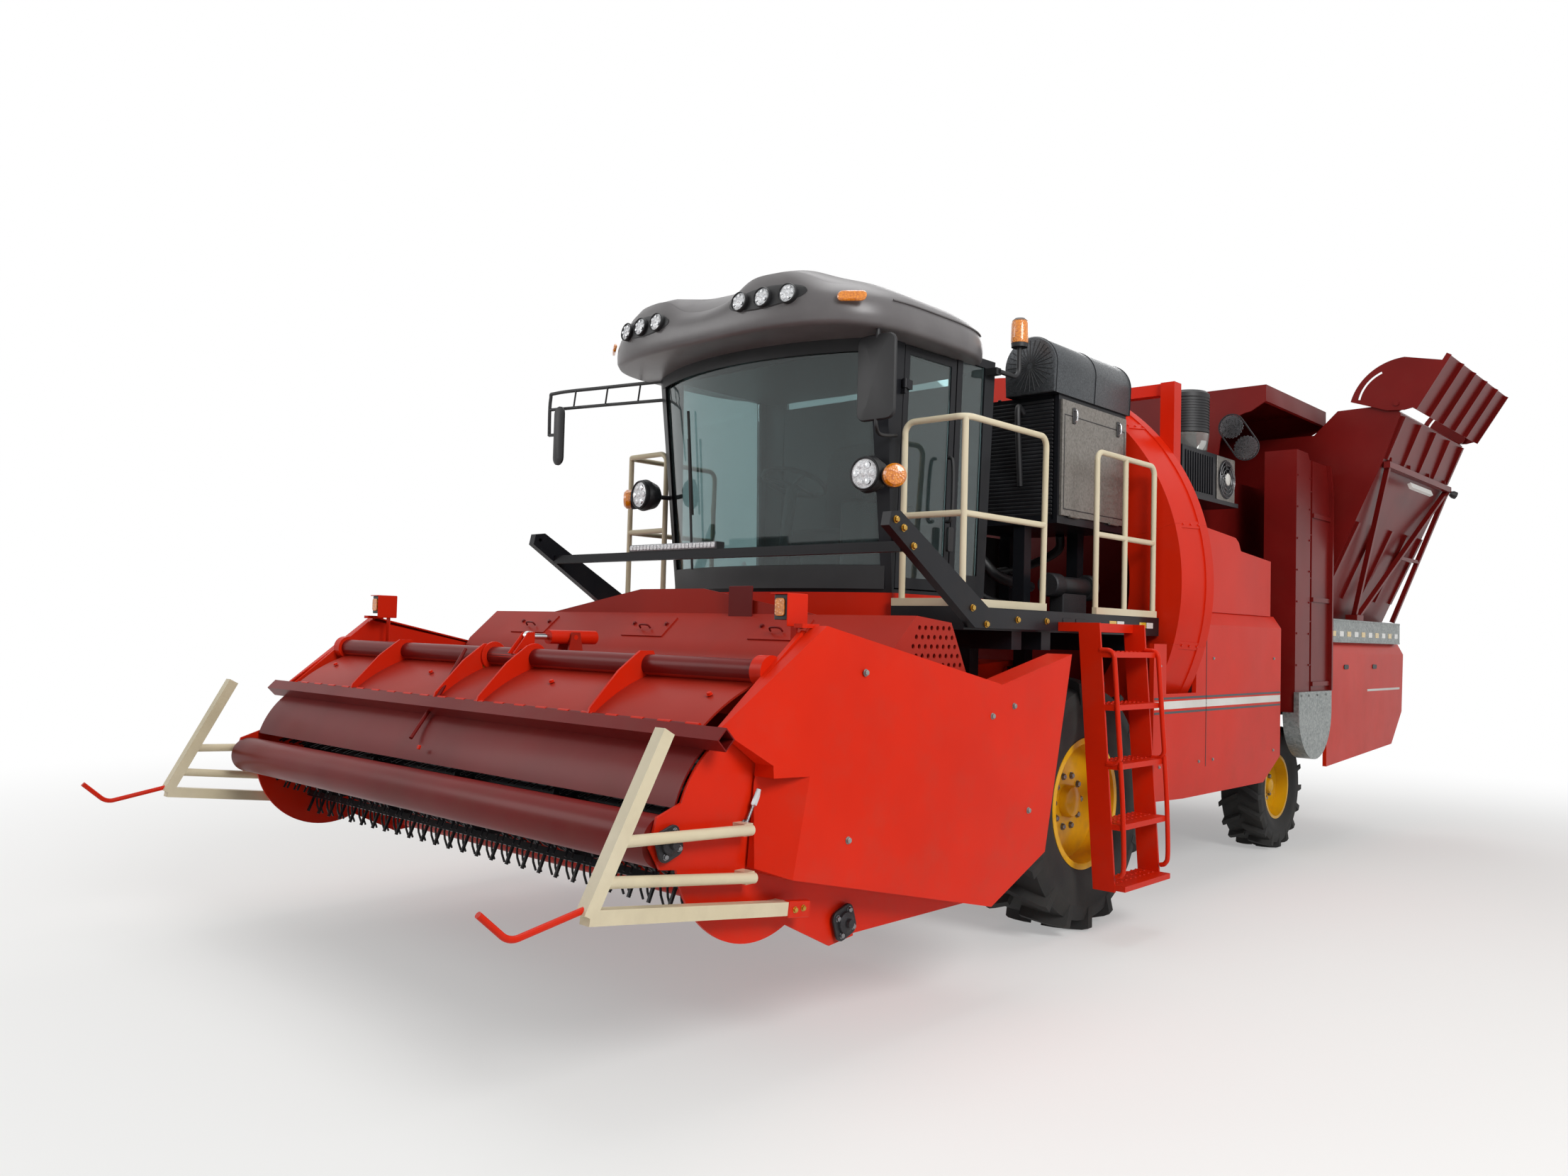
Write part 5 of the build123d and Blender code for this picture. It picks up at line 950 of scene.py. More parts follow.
@dataclass
class Cab:
    """Lamps, wiper, door handle and the driver's place."""

    place: Placement
    nose_low: float = -1.31
    nose_high: float = -1.49
    corner_low: float = -1.10
    corner_high: float = -1.25
    glass_foot: float = 1.88
    glass_height: float = 1.41
    wheel_middle: Point = (0.0, -0.95, 2.555)
    wheel_radius: float = 0.19

    def screen_y(self, x: np.ndarray, z: np.ndarray) -> np.ndarray:
        """Depth of the windscreen: an arc through both corners and the nose, both moving forward with height.

        Args:
            x: Places across, in metres.
            z: Heights, in metres.

        Returns:
            The depths in metres.
        """
        share = (z - self.glass_foot) / self.glass_height
        corner = self.corner_low + (self.corner_high - self.corner_low) * share
        nose = self.nose_low + (self.nose_high - self.nose_low) * share
        chord, sagitta = 0.87 + 0.04 * share, corner - nose
        radius = (chord ** 2 + sagitta ** 2) / (2 * sagitta)
        return corner - (np.sqrt(radius ** 2 - x ** 2) - (radius - sagitta))

    def round_lamp(self, spot: Point, direction: Point, radius: float,
                   glass: Finish, cells: int) -> list[Shell]:
        """Round lamp: black bezel, bright bowl and a ring of small domed lenses.

        Args:
            spot: Middle of the bezel, in metres.
            direction: The way it shines.
            radius: Radius of the bezel.
            glass: Finish of the bowl.
            cells: Number of small lenses, the last in the middle.

        Returns:
            The bezel, the bowl and the lenses.
        """
        rim = turned([(-0.03, radius * 0.9), (0.0, radius), (0.012, radius), (0.016, radius * 0.93),
                      (0.006, radius * 0.88)], spot, direction, PLASTIC, 28)
        face = turned([(-0.01, radius * 0.9), (0.006, radius * 0.9), (0.012, radius * 0.6), (0.014, 0)], spot,
                      direction, glass, 28)
        shells = [rim, face]
        along, side, up = frame_of(np.array(direction, float))
        for number in range(cells):
            angle = 2 * math.pi * number / max(cells - 1, 1)
            away = 0.0 if number == cells - 1 else radius * 0.55
            centre = np.array(spot) + along * 0.01 + away * (math.cos(angle) * side + math.sin(angle) * up)
            size = radius * 0.21
            shells.append(turned([(0, size), (0.006, size * 0.85), (0.009, size * 0.4), (0.0095, 0)], tuple(centre),
                                 direction, CHROME if number % 2 else glass, 12))
        return shells

    def lamps(self) -> list[Shell]:
        """Two head lamps with their indicators, and the beacon's dome.

        Returns:
            Their shells.
        """
        shells: list[Shell] = []
        for side in (1, -1):
            shells += self.round_lamp((side * 0.9, -1.392, 2.49), (0.12 * side, -1, 0), 0.088, LAMP, 7)
            shells.append(turned([(-0.05, 0.05), (0.0, 0.062), (0.035, 0.062), (0.05, 0.05), (0.056, 0.0)],
                                 (side * 1.045, -1.335, 2.475), (0.75 * side, -0.66, 0), AMBER, 24))
            shells.append(turned([(-0.1, 0.03), (-0.06, 0.058), (-0.005, 0.064), (0.003, 0.064)],
                                 (side * 1.045, -1.335, 2.475), (0.75 * side, -0.66, 0), PLASTIC, 24))
        beacon = [(3.425, 0.051), (3.435, 0.0525), (3.54, 0.0505), (3.562, 0.045), (3.572, 0.025), (3.574, 0)]
        shells.append(turned(beacon, (1.01, -0.08, 0), UPWARD, AMBER, 28))
        return shells

    def screen_fittings(self) -> list[Shell]:
        """Wiper that follows the glass, and dark bands at the glass's top and foot.

        Returns:
            Arm, blade and bands.
        """
        sweep = np.linspace(0, 1, 14)
        x, z = -0.52 + 0.06 * sweep, 2.02 + 0.78 * sweep
        arm = np.stack([x, self.screen_y(x, z) - 0.03, z], axis=-1)
        x, z = -0.50 + 0.03 * sweep, 2.35 + 0.62 * sweep
        blade = np.stack([x, self.screen_y(x, z) - 0.012, z], axis=-1)
        shells = [carried(arm, circle_section(0.008, 8), PLASTIC), carried(blade, strip_section(0.004, 0.008), RUBBER)]
        across = np.linspace(-0.84, 0.84, 40)
        for low, high in ((1.90, 2.03), (3.17, 3.27)):
            level = np.full(40, (low + high) / 2)
            path = np.stack([across, self.screen_y(across, level) - 0.004, level], axis=-1)
            shells.append(carried(path, strip_section(0.003, (high - low) / 2), PLASTIC))
        return shells

    def steering_wheel(self) -> list[Shell]:
        """Steering wheel: its rim is a circle in a tilted plane, and three spokes run to the column's head.

        Returns:
            The rim and the spokes.
        """
        middle, across = np.array(self.wheel_middle), np.array([1.0, 0, 0])
        over = np.cross([0, 0.33, 0.944], across)
        angles = np.linspace(0, 2 * np.pi, 40, endpoint=False)[:, None]
        ring = middle + self.wheel_radius * np.cos(angles) * across + self.wheel_radius * np.sin(angles) * over
        shells = [carried(ring, circle_section(0.014, 10), PLASTIC, True)]
        reach = self.wheel_radius - 0.005
        for angle in (math.pi / 2, math.pi * 7 / 6, math.pi * 11 / 6):
            end = middle + reach * math.cos(angle) * across + reach * math.sin(angle) * over
            shells.append(pipe([(0, -0.955, 2.54), tuple(end)], 0.011, PLASTIC, False))
        return shells

    def seat(self) -> None:
        """Driver's place instead of the CAD blocks: padded cushions, pedestal, console, column and wheel."""
        cushion = self.pad((0.0, -0.58, 2.22), (0.25, 0.24, 0.075), 0.0)
        back = self.pad((0.0, -0.345, 2.58), (0.235, 0.062, 0.29), 0.1)
        for name, shell in (("seat_cushion", cushion), ("seat_back", back)):
            soft = self.place.piece(name, [shell], "machine", 60)
        hard = [plate((0, -0.268, 2.57), LEFTWARD, UPWARD, (1.66, 1.22, 0.008), PLASTIC, 0.05),
                plate((0, -0.75, 3.215), LEFTWARD, REARWARD, (1.6, 0.9, 0.01), PLASTIC, 0.05),
                plate((0, -0.58, 1.90), LEFTWARD, REARWARD, (1.2, 0.84, 0.012), RUBBER, 0.02),
                plate((0, -0.58, 1.912), LEFTWARD, REARWARD, (0.3, 0.3, 0.23), PLASTIC, 0.04, 0.01),
                plate((0.39, -0.62, 1.912), LEFTWARD, REARWARD, (0.18, 0.55, 0.53), PLASTIC, 0.05, 0.02),
                pipe([(0, -1.06, 1.915), (0, -1.01, 2.25), (0, -0.965, 2.53)], 0.035, PLASTIC)]
        hard += self.steering_wheel()
        for x, y in ((0.36, -0.8), (0.42, -0.8), (0.39, -0.66)):
            hard.append(turned([(0, 0.007), (0.13, 0.006), (0.135, 0.018), (0.17, 0.016), (0.178, 0)], (x, y, 2.44),
                               (0, -0.15, 1), PLASTIC, 12))
        inside = self.place.piece("cab_controls", hard, "machine")
        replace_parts(inside, "cab_interior")

    def pad(self, centre: Point, half: Point, lean: float) -> Shell:
        """Cushion as a superellipsoid, whose axes follow a sine or cosine to a power below 1.

        Two sewn channels draw it in by 1 - depth * exp(-(share -+ channel)^2 / width) of its size.

        Args:
            centre: Its middle.
            half: Its half sizes.
            lean: How far its top leans back, per unit of height.

        Returns:
            The cushion's shell.
        """
        rise = np.linspace(-np.pi / 2 + 0.05, np.pi / 2 - 0.05, 25)
        around = np.linspace(0, 2 * np.pi, 48, endpoint=False)
        ring = signed_power(np.cos(rise), 0.35)
        height = signed_power(np.sin(rise), 0.6)
        x = centre[0] + half[0] * ring[:, None] * signed_power(np.cos(around), 0.4)[None]
        y = centre[1] + half[1] * ring[:, None] * signed_power(np.sin(around), 0.4)[None]
        z = np.broadcast_to(centre[2] + half[2] * height[:, None], x.shape)
        share, channel, depth, width = (x - centre[0]) / half[0], 0.45, 0.04, 0.004
        groove = (1 - depth * np.exp(-(share - channel) ** 2 / width)
                  - depth * np.exp(-(share + channel) ** 2 / width))
        y = centre[1] + (y - centre[1]) * groove + lean * (z - centre[2])
        z = centre[2] + (z - centre[2]) * groove
        return stacked(np.stack([x, y, z], axis=-1), CLOTH)

    def build(self) -> None:
        """Make the cab's fittings."""
        self.place.piece("cab_lamps", self.lamps(), "machine")
        self.place.piece("windscreen_fittings", self.screen_fittings(), "machine")
        door = [pipe([(0.93, -0.70, 2.30), (0.972, -0.70, 2.33), (0.975, -0.70, 2.62), (0.94, -0.70, 2.66)], 0.011,
                     PLASTIC),
                plate((0.925, -0.66, 2.20), (0, 1, 0.0), (0.03, 0, 1), (0.05, 0.14, 0.02), PLASTIC, 0.012)]
        self.place.piece("cab_door_handle", door, "cab_door")
        self.seat()


@dataclass
class TineRows:
    """Bent spring tines between those of the CAD drum, so that each bar is as full as the real one."""

    place: Placement
    axis: tuple[float, float] = (-2.97, 0.91)
    reach: tuple[float, float] = (0.245, 0.343)
    half_length: float = 1.63
    rows: int = 8
    pitch: float = 0.12

    def build(self) -> None:
        """Make two tines in each gap of each bar; a tine's middle line bends back as the square of its height."""
        low, high = self.reach
        rise = np.linspace(0, 1, 4)
        shells: list[Shell] = []
        section = circle_section(0.0055, 5)
        for row in range(self.rows):
            angle = math.radians(22 + 45 * row)
            out = np.array([0.0, -math.sin(angle), math.cos(angle)])
            back = np.array([0.0, -math.cos(angle), -math.sin(angle)])
            for number in range(int(2 * self.half_length / self.pitch)):
                for part in (0.33, 0.67):
                    x = -self.half_length + (number + part) * self.pitch
                    centre = np.array([x, *self.axis])
                    line = (centre + (low + (high - low - 0.01) * rise)[:, None] * out
                            + (0.05 * rise ** 2)[:, None] * back)
                    shells.append(carried(line, section * (1.0 if part < 0.5 else 0.95), BLACK))
        self.place.piece("tine_rows", shells, "tine_drum")


@dataclass
class CabRoof:
    """Moulded roof cap with two raised lamp pods on its brow, and the lamps in them."""

    place: Placement
    half_width: float = 1.066
    front: float = -1.786
    back: float = -0.155
    power: float = 3.4
    pod_x: float = 0.49
    pod_rise: float = 0.085
    lamp_pitch: float = 0.155
    levels: tuple[Point, ...] = (
        (0.55, 3.243, 0.0), (0.955, 3.238, 0.0), (0.985, 3.246, 0.0), (0.998, 3.27, 0.0), (1.0, 3.31, 0.0),
        (0.997, 3.35, 0.1), (0.985, 3.392, 0.45), (0.958, 3.432, 0.85), (0.915, 3.466, 1.0), (0.905, 3.462, 0.97),
        (0.895, 3.474, 0.97), (0.80, 3.53, 0.7), (0.64, 3.585, 0.3), (0.42, 3.628, 0.06), (0.2, 3.65, 0.0),
        (0.05, 3.656, 0.0))

    @property
    def half_depth(self) -> float:
        """Half the roof's length."""
        return (self.back - self.front) / 2

    @property
    def middle(self) -> float:
        """Depth of the roof's middle."""
        return (self.back + self.front) / 2

    def surface(self, scale: np.ndarray, height: np.ndarray, weight: np.ndarray, angle: np.ndarray) -> np.ndarray:
        """Place of the roof's skin.

        The plan is a superellipse, each axis following the cosine or sine to the power 2 / n, drawn in by the
        scale. The height gains a pod where the skin is in front: the weight times exp(-((|x| - pod) / 0.24)^4).

        Args:
            scale: Share of the full plan.
            height: Height in metres without pods.
            weight: How much of the pods' rise the level takes.
            angle: Direction in plan, in radians from +X.

        Returns:
            Points in metres.
        """
        x = scale * self.half_width * signed_power(np.cos(angle), 2 / self.power)
        y = self.middle + scale * self.half_depth * signed_power(np.sin(angle), 2 / self.power)
        ahead = np.clip((-1.15 - y) / 0.45, 0, 1)
        pods = np.exp(-((np.abs(x) - self.pod_x) / 0.24) ** 4)
        dip = 0.035 * np.exp(-(x / 0.2) ** 2) * ahead
        z = height + weight * (self.pod_rise * pods * ahead - dip)
        return np.stack(np.broadcast_arrays(x, y, z), axis=-1)

    def recess(self, side: int) -> Shell:
        """Dark oval recess round a pod's three lamps, laid 5 mm proud on the brow.

        Its places across and its heights are those of an ellipse. The depth is the plan's superellipse at the
        scale that the levels give for that height.

        Args:
            side: 1 for the left, -1 for the right.

        Returns:
            The recess.
        """
        levels = np.array(self.levels)[3:9]
        share = np.array([0.05, 0.5, 0.9, 1.0, 0.96])[:, None]
        proud = np.array([0.005, 0.005, 0.005, 0.0, -0.02])[:, None]
        angle = np.linspace(0, 2 * np.pi, 48, endpoint=False)[None]
        x = self.pod_x + 0.245 * share * np.cos(angle)
        z = 3.408 + 0.062 * share * np.sin(angle) + 0.01 * np.cos(angle) * share
        scale = np.interp(z, levels[:, 1] + levels[:, 2] * self.pod_rise, levels[:, 0])
        inward = (1 - (x / (scale * self.half_width)) ** self.power) ** (1 / self.power)
        y = self.middle - proud - self.half_depth * scale * inward
        return stacked(np.stack([side * x, y, z], axis=-1), PLASTIC)

    def build(self) -> None:
        """Make the roof in place of the CAD one, with three lamps in each pod and a marker on each corner.

        The directions in plan are spread so that the outline's points lie evenly along it.
        """
        turn = np.linspace(0, 2 * np.pi, 720, endpoint=False)
        even, deep = signed_power(np.cos(turn), 2 / self.power), signed_power(np.sin(turn), 2 / self.power)
        steps = np.hypot(np.diff(even, append=even[0]), np.diff(deep, append=deep[0]))
        reach = np.concatenate([[0], np.cumsum(steps)[:-1]])
        angle = np.interp(np.linspace(0, reach[-1], 200, endpoint=False), reach, turn)
        levels = np.array(self.levels)
        rings = self.surface(levels[:, :1], levels[:, 1:2], levels[:, 2:3], angle[None])
        flank = np.radians(np.linspace(-16, 28, 24))
        moulding = [carried(self.surface(np.array(0.988), np.array(3.395), np.array(0.45), part),
                            circle_section(0.005, 8), ROOF) for part in (flank, np.pi - flank)]
        roof = self.place.piece("roof_cap", [stacked(rings, ROOF), *moulding], "machine", 50)
        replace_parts(roof, "cab_roof")
        shells: list[Shell] = []
        lamps = Cab(self.place)
        for side in (1, -1):
            shells.append(self.recess(side))
            for x in (self.pod_x - self.lamp_pitch, self.pod_x, self.pod_x + self.lamp_pitch):
                share = (x / self.half_width) ** self.power
                y = self.middle - 0.985 * self.half_depth * (1 - share) ** (1 / self.power)
                shells += lamps.round_lamp((side * x, y - 0.016, 3.405), (0.9 * share * side, -1, 0.12), 0.054, LAMP, 7)
            shells.append(plate((side * 0.945, -1.585, 3.372), (1.0, 0.75 * side, 0), (0, 0.25, 1),
                                (0.15, 0.055, 0.02), AMBER, 0.026, 0.006))
        self.place.piece("roof_lamps", shells, "machine")


@dataclass
class Mirrors:
    """Both mirrors on their tube arms, in place of the CAD ones."""

    place: Placement

    def head(self, centre: Point, width: float, height: float) -> list[Shell]:
        """Mirror head: a crowned housing turned to the front and the glass in its rim behind.

        Args:
            centre: Middle of the housing's rim, in metres.
            width: Its width.
            height: Its height.

        Returns:
            The housing and the glass.
        """
        shell = plate(centre, LEFTWARD, UPWARD, (width, height, 0.022), PLASTIC, 0.05, 0.006, 0.012)
        glass = plate((centre[0], centre[1] + 0.001, centre[2]), (-1, 0, 0), UPWARD,
                      (width - 0.03, height - 0.03, 0.003), CHROME, 0.04)
        return [shell, glass]

    def build(self) -> None:
        """Make the two heads, their arms and clamps."""
        shells = self.head((0.975, -1.394, 2.985), 0.25, 0.45) + self.head((-1.745, -1.402, 2.94), 0.105, 0.40)
        shells += [pipe([(0.86, -1.2, 3.25), (0.93, -1.33, 3.262), (0.975, -1.402, 3.25), (0.975, -1.405, 3.16)],
                        0.012, PLASTIC),
                   pipe([(0.93, -1.17, 2.72), (0.95, -1.33, 2.70), (0.975, -1.40, 2.73), (0.975, -1.404, 2.80)],
                        0.010, PLASTIC),
                   pipe([(-0.88, -1.21, 3.24), (-1.4, -1.315, 3.243), (-1.8, -1.4, 3.24), (-1.858, -1.41, 3.2),
                         (-1.86, -1.41, 2.95)], 0.012, PLASTIC),
                   pipe([(-0.87, -1.20, 3.12), (-1.4, -1.31, 3.127), (-1.86, -1.41, 3.13)], 0.011, PLASTIC, False),
                   pipe([(-1.86, -1.41, 2.955), (-1.76, -1.41, 2.95)], 0.011, PLASTIC, False)]
        for x in (-1.1, -1.35, -1.6):
            y = -1.25 - 0.21 * (-x - 1.1) / 0.76
            shells.append(pipe([(x, y - 0.003, 3.235), (x - 0.02, y - 0.003, 3.13)], 0.006, PLASTIC, False))
        for x, z in ((0.975, 3.17), (0.975, 2.79)):
            shells.append(plate((x, -1.395, z), LEFTWARD, UPWARD, (0.05, 0.04, -0.02), PLASTIC, 0.008))
        made = self.place.piece("mirror_pair", shells, "machine")
        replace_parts(made, "mirrors")


@dataclass
class Platform:
    """Light bar, arm bolts, edge reflectors and the ladder's tread dimples."""

    place: Placement
    arm_face: float = 1.4203
    deck_edge: float = 1.3702
    treads: tuple[float, ...] = (0.300, 0.625, 0.950, 1.270, 1.560)

    def light_bar(self, start: Point, length: float, direction: Point,
                  cells: int) -> list[Shell]:
        """Long work lamp: a case with a row of square lenses along it.

        Args:
            start: Middle of its right end, in metres.
            length: Its length.
            direction: The way it runs.
            cells: Number of lenses.

        Returns:
            The case and the lenses.
        """
        along = np.array(direction, float)
        along /= np.linalg.norm(along)
        middle = np.array(start) + along * length / 2
        shells = [plate(tuple(middle), tuple(along), UPWARD, (length, 0.036, 0.03), STEEL, 0.008)]
        face = np.cross(along, [0, 0, 1.0])
        for number in range(cells):
            spot = np.array(start) + along * length * (number + 0.5) / cells + face * 0.03
            shells.append(plate(tuple(spot), tuple(along), UPWARD, (length / cells * 0.82, 0.026, 0.006), LAMP, 0.005))
        return shells

    def build(self) -> None:
        """Make the platform's fittings."""
        shells = self.light_bar((-0.61, -1.672, 2.122), 0.72, LEFTWARD, 24)
        for side in (1, -1):
            edge = side * self.deck_edge
            for y, z in ((-1.80, 2.19), (-1.74, 2.155), (-1.66, 2.075), (-1.15, 1.80), (-1.02, 1.72),
                         (-0.72, 1.75), (-0.42, 1.75)):
                shells += bolt((side * self.arm_face, y, z), (side, 0, 0), 0.03, PASSIVATED)
            # The white and yellow tape strips glow faintly: painted glow.
            for y, finish in ((0.46, YELLOW_TAPE_PAINTED_GLOW), (0.56, WHITE_TAPE_PAINTED_GLOW), (0.86, YELLOW_TAPE_PAINTED_GLOW),
                              (0.96, WHITE_TAPE_PAINTED_GLOW)):
                shells.append(plate((edge, y, 1.755), (0, side, 0), UPWARD, (0.09, 0.036, 0.0015), finish, 0.003,
                                    0.0005))
            for y in (-0.1, 0.05):
                shells.append(plate((edge, y, 1.75), (0, side, 0), UPWARD, (0.10, 0.05, 0.003), BLACK, 0.01))
        self.place.piece("platform_fittings", shells, "machine")
        self.place.piece("ladder_treads_and_rails", self.ladder(), "machine")

    def ladder(self) -> list[Shell]:
        """Pressed dimples on the ladder's treads, which step back as it leans, and its two hand rails.

        Returns:
            The dimples and the rails.
        """
        shells: list[Shell] = []
        for level in self.treads:
            inner = 1.615 - 0.115 * (level - 0.29) / 1.46
            for column in range(9):
                for row in range(3):
                    spot = (inner + row * 0.05, -0.13 + column * 0.055, level + 0.029)
                    shells.append(turned([(0, 0.009), (0.005, 0.006), (0.006, 0)], spot, UPWARD, RED, 6))
        for y in (-0.193, 0.353):
            rail = [(1.757, y, 0.995), (1.775, y, 0.75), (1.786, y, 0.45), (1.772, y, 0.385), (1.742, y, 0.37)]
            shells.append(pipe(rail, 0.0135, RED))
        return shells


@dataclass
class PowerUnit:
    """Radiator screen, dust hood's skin, door latches, and the pipework beside the engine."""

    place: Placement
    hood_x: float = 0.98
    hood_z: float = 3.325
    hood_radius: float = 0.18
    pleats: int = 28
    door_face: float = 1.1502

    def hood(self) -> list[Shell]:
        """Rolled skin of the dust hood with its seams, and the pleats of its round front end.

        The skin's outline is a half circle on two legs that lean in by 8 mm. It is drawn in a little towards
        both of its ends, which rounds their rims.

        Returns:
            Skin, seams and pleats.
        """
        arc = np.linspace(0, np.pi, 33)
        foot, leg = self.hood_radius - 0.008, -0.175
        across = np.concatenate([[foot], self.hood_radius * np.cos(arc), [-foot]])
        over = np.concatenate([[leg], self.hood_radius * np.sin(arc), [leg]])
        ends = ((0.094, 0.94), (0.097, 0.98), (0.106, 1.0), (1.082, 1.0), (1.089, 0.98), (1.092, 0.94))
        rings = np.stack([np.stack([self.hood_x + across * scale, np.full(35, y),
                                    self.hood_z - 0.06 + (over + 0.06) * scale], axis=-1) for y, scale in ends])
        shells = [stacked(rings, PERFORATED)]
        for y in (0.112, 0.594, 1.076):
            seam = np.stack([self.hood_x + across, np.full(35, y), self.hood_z + over], axis=-1)
            shells.append(carried(seam, circle_section(0.004, 6), BLACK))
        middle = np.array([self.hood_x, 0.093, self.hood_z])
        for number in range(self.pleats):
            angle = 2 * math.pi * number / self.pleats
            way = np.array([math.cos(angle), 0.0, math.sin(angle)])
            shells.append(pipe([tuple(middle + way * 0.02), tuple(middle + way * 0.158)], 0.0028, SCREEN, False, 6))
        return shells

    def build(self) -> None:
        """Make the power unit's fittings."""
        self.place.piece("power_unit_fittings", self.screen() + self.hood() + self.pipework(), "machine")
        self.place.piece("radiator_door_latches", self.door_fittings(), "radiator_door")

    def screen(self) -> list[Shell]:
        """Louvres over the radiator's front and the three bars that hold them.

        Returns:
            Their shells.
        """
        shells = []
        for number in range(30):
            z = 2.42 + number * 0.024
            shells.append(plate((0.71, 0.181, z), LEFTWARD, (0, -0.5, 1), (0.78, 0.016, 0.006), SCREEN, 0.003))
        for x in (0.32, 0.71, 1.10):
            shells.append(plate((x, 0.180, 2.77), UPWARD, LEFTWARD, (0.78, 0.02, 0.014), BLACK, 0.003))
        return shells

    def pipework(self) -> list[Shell]:
        """Coolant pipes, the silencer on its foot, and the engine's belt pulleys.

        Returns:
            Their shells.
        """
        pipes = [([(0.28, 0.3, 2.25), (0.5, 0.25, 2.2), (0.62, 0.35, 2.05), (0.62, 0.75, 2.0)], 0.035),
                 ([(0.27, 0.8, 2.1), (0.45, 0.95, 2.15), (0.7, 0.95, 2.25), (0.75, 0.9, 2.355)], 0.03),
                 ([(0.45, 0.12, 2.9), (0.42, 0.06, 2.7), (0.5, 0.05, 2.3), (0.55, 0.2, 1.95), (0.7, 0.5, 1.86)], 0.022),
                 ([(0.9, 0.16, 3.05), (0.9, 0.1, 3.08), (0.9, 0.1, 2.95), (0.88, 0.17, 2.6)], 0.018)]
        shells = [pipe(corners, radius, PLASTIC) for corners, radius in pipes]
        silencer = ((0.28, 0.40, 0.075, IRON), (0.40, 0.74, 0.06, PLASTIC), (0.74, 0.80, 0.085, IRON))
        for y0, y1, radius, finish in silencer:
            shells.append(turned([(y0, radius * 0.9), (y0 + 0.01, radius), (y1 - 0.01, radius), (y1, radius * 0.9)],
                                 (1.02, 0, 1.99), REARWARD, finish, 24))
        shells.append(plate((1.02, 0.54, 1.81), LEFTWARD, REARWARD, (0.1, 0.3, 0.13), IRON, 0.01))
        for y, z, radius in ((0.0, 1.98, 0.12), (-0.02, 2.2, 0.07), (-0.01, 1.86, 0.05)):
            shells.append(turned([(0, radius), (0.012, radius), (0.02, radius * 0.86), (0.035, radius * 0.86),
                                  (0.043, radius), (0.055, radius), (0.056, radius * 0.3)],
                                 (-0.2 + z * 0.1, y + 0.045, z), REARWARD, IRON, 28))
        return shells

    def door_fittings(self) -> list[Shell]:
        """Two latches on the radiator's door and the seam round its panel.

        Returns:
            Their shells.
        """
        shells = []
        for y in (0.34, 0.92):
            shells.append(plate((1.1503, y, 3.035), REARWARD, UPWARD, (0.035, 0.10, 0.006), PLASTIC, 0.006))
            shells.append(pipe([(1.156, y, 3.07), (1.172, y, 3.06), (1.172, y, 3.01), (1.156, y, 3.0)], 0.006, CHROME))
        for y, z, width, height in ((0.62, 3.03, 0.79, 0.006), (0.62, 2.45, 0.79, 0.006), (0.228, 2.74, 0.006, 0.58),
                                    (1.012, 2.74, 0.006, 0.58)):
            shells.append(plate((self.door_face, y, z), REARWARD, UPWARD, (width, height, 0.002), PLASTIC, 0.002,
                                0.0008))
        return shells


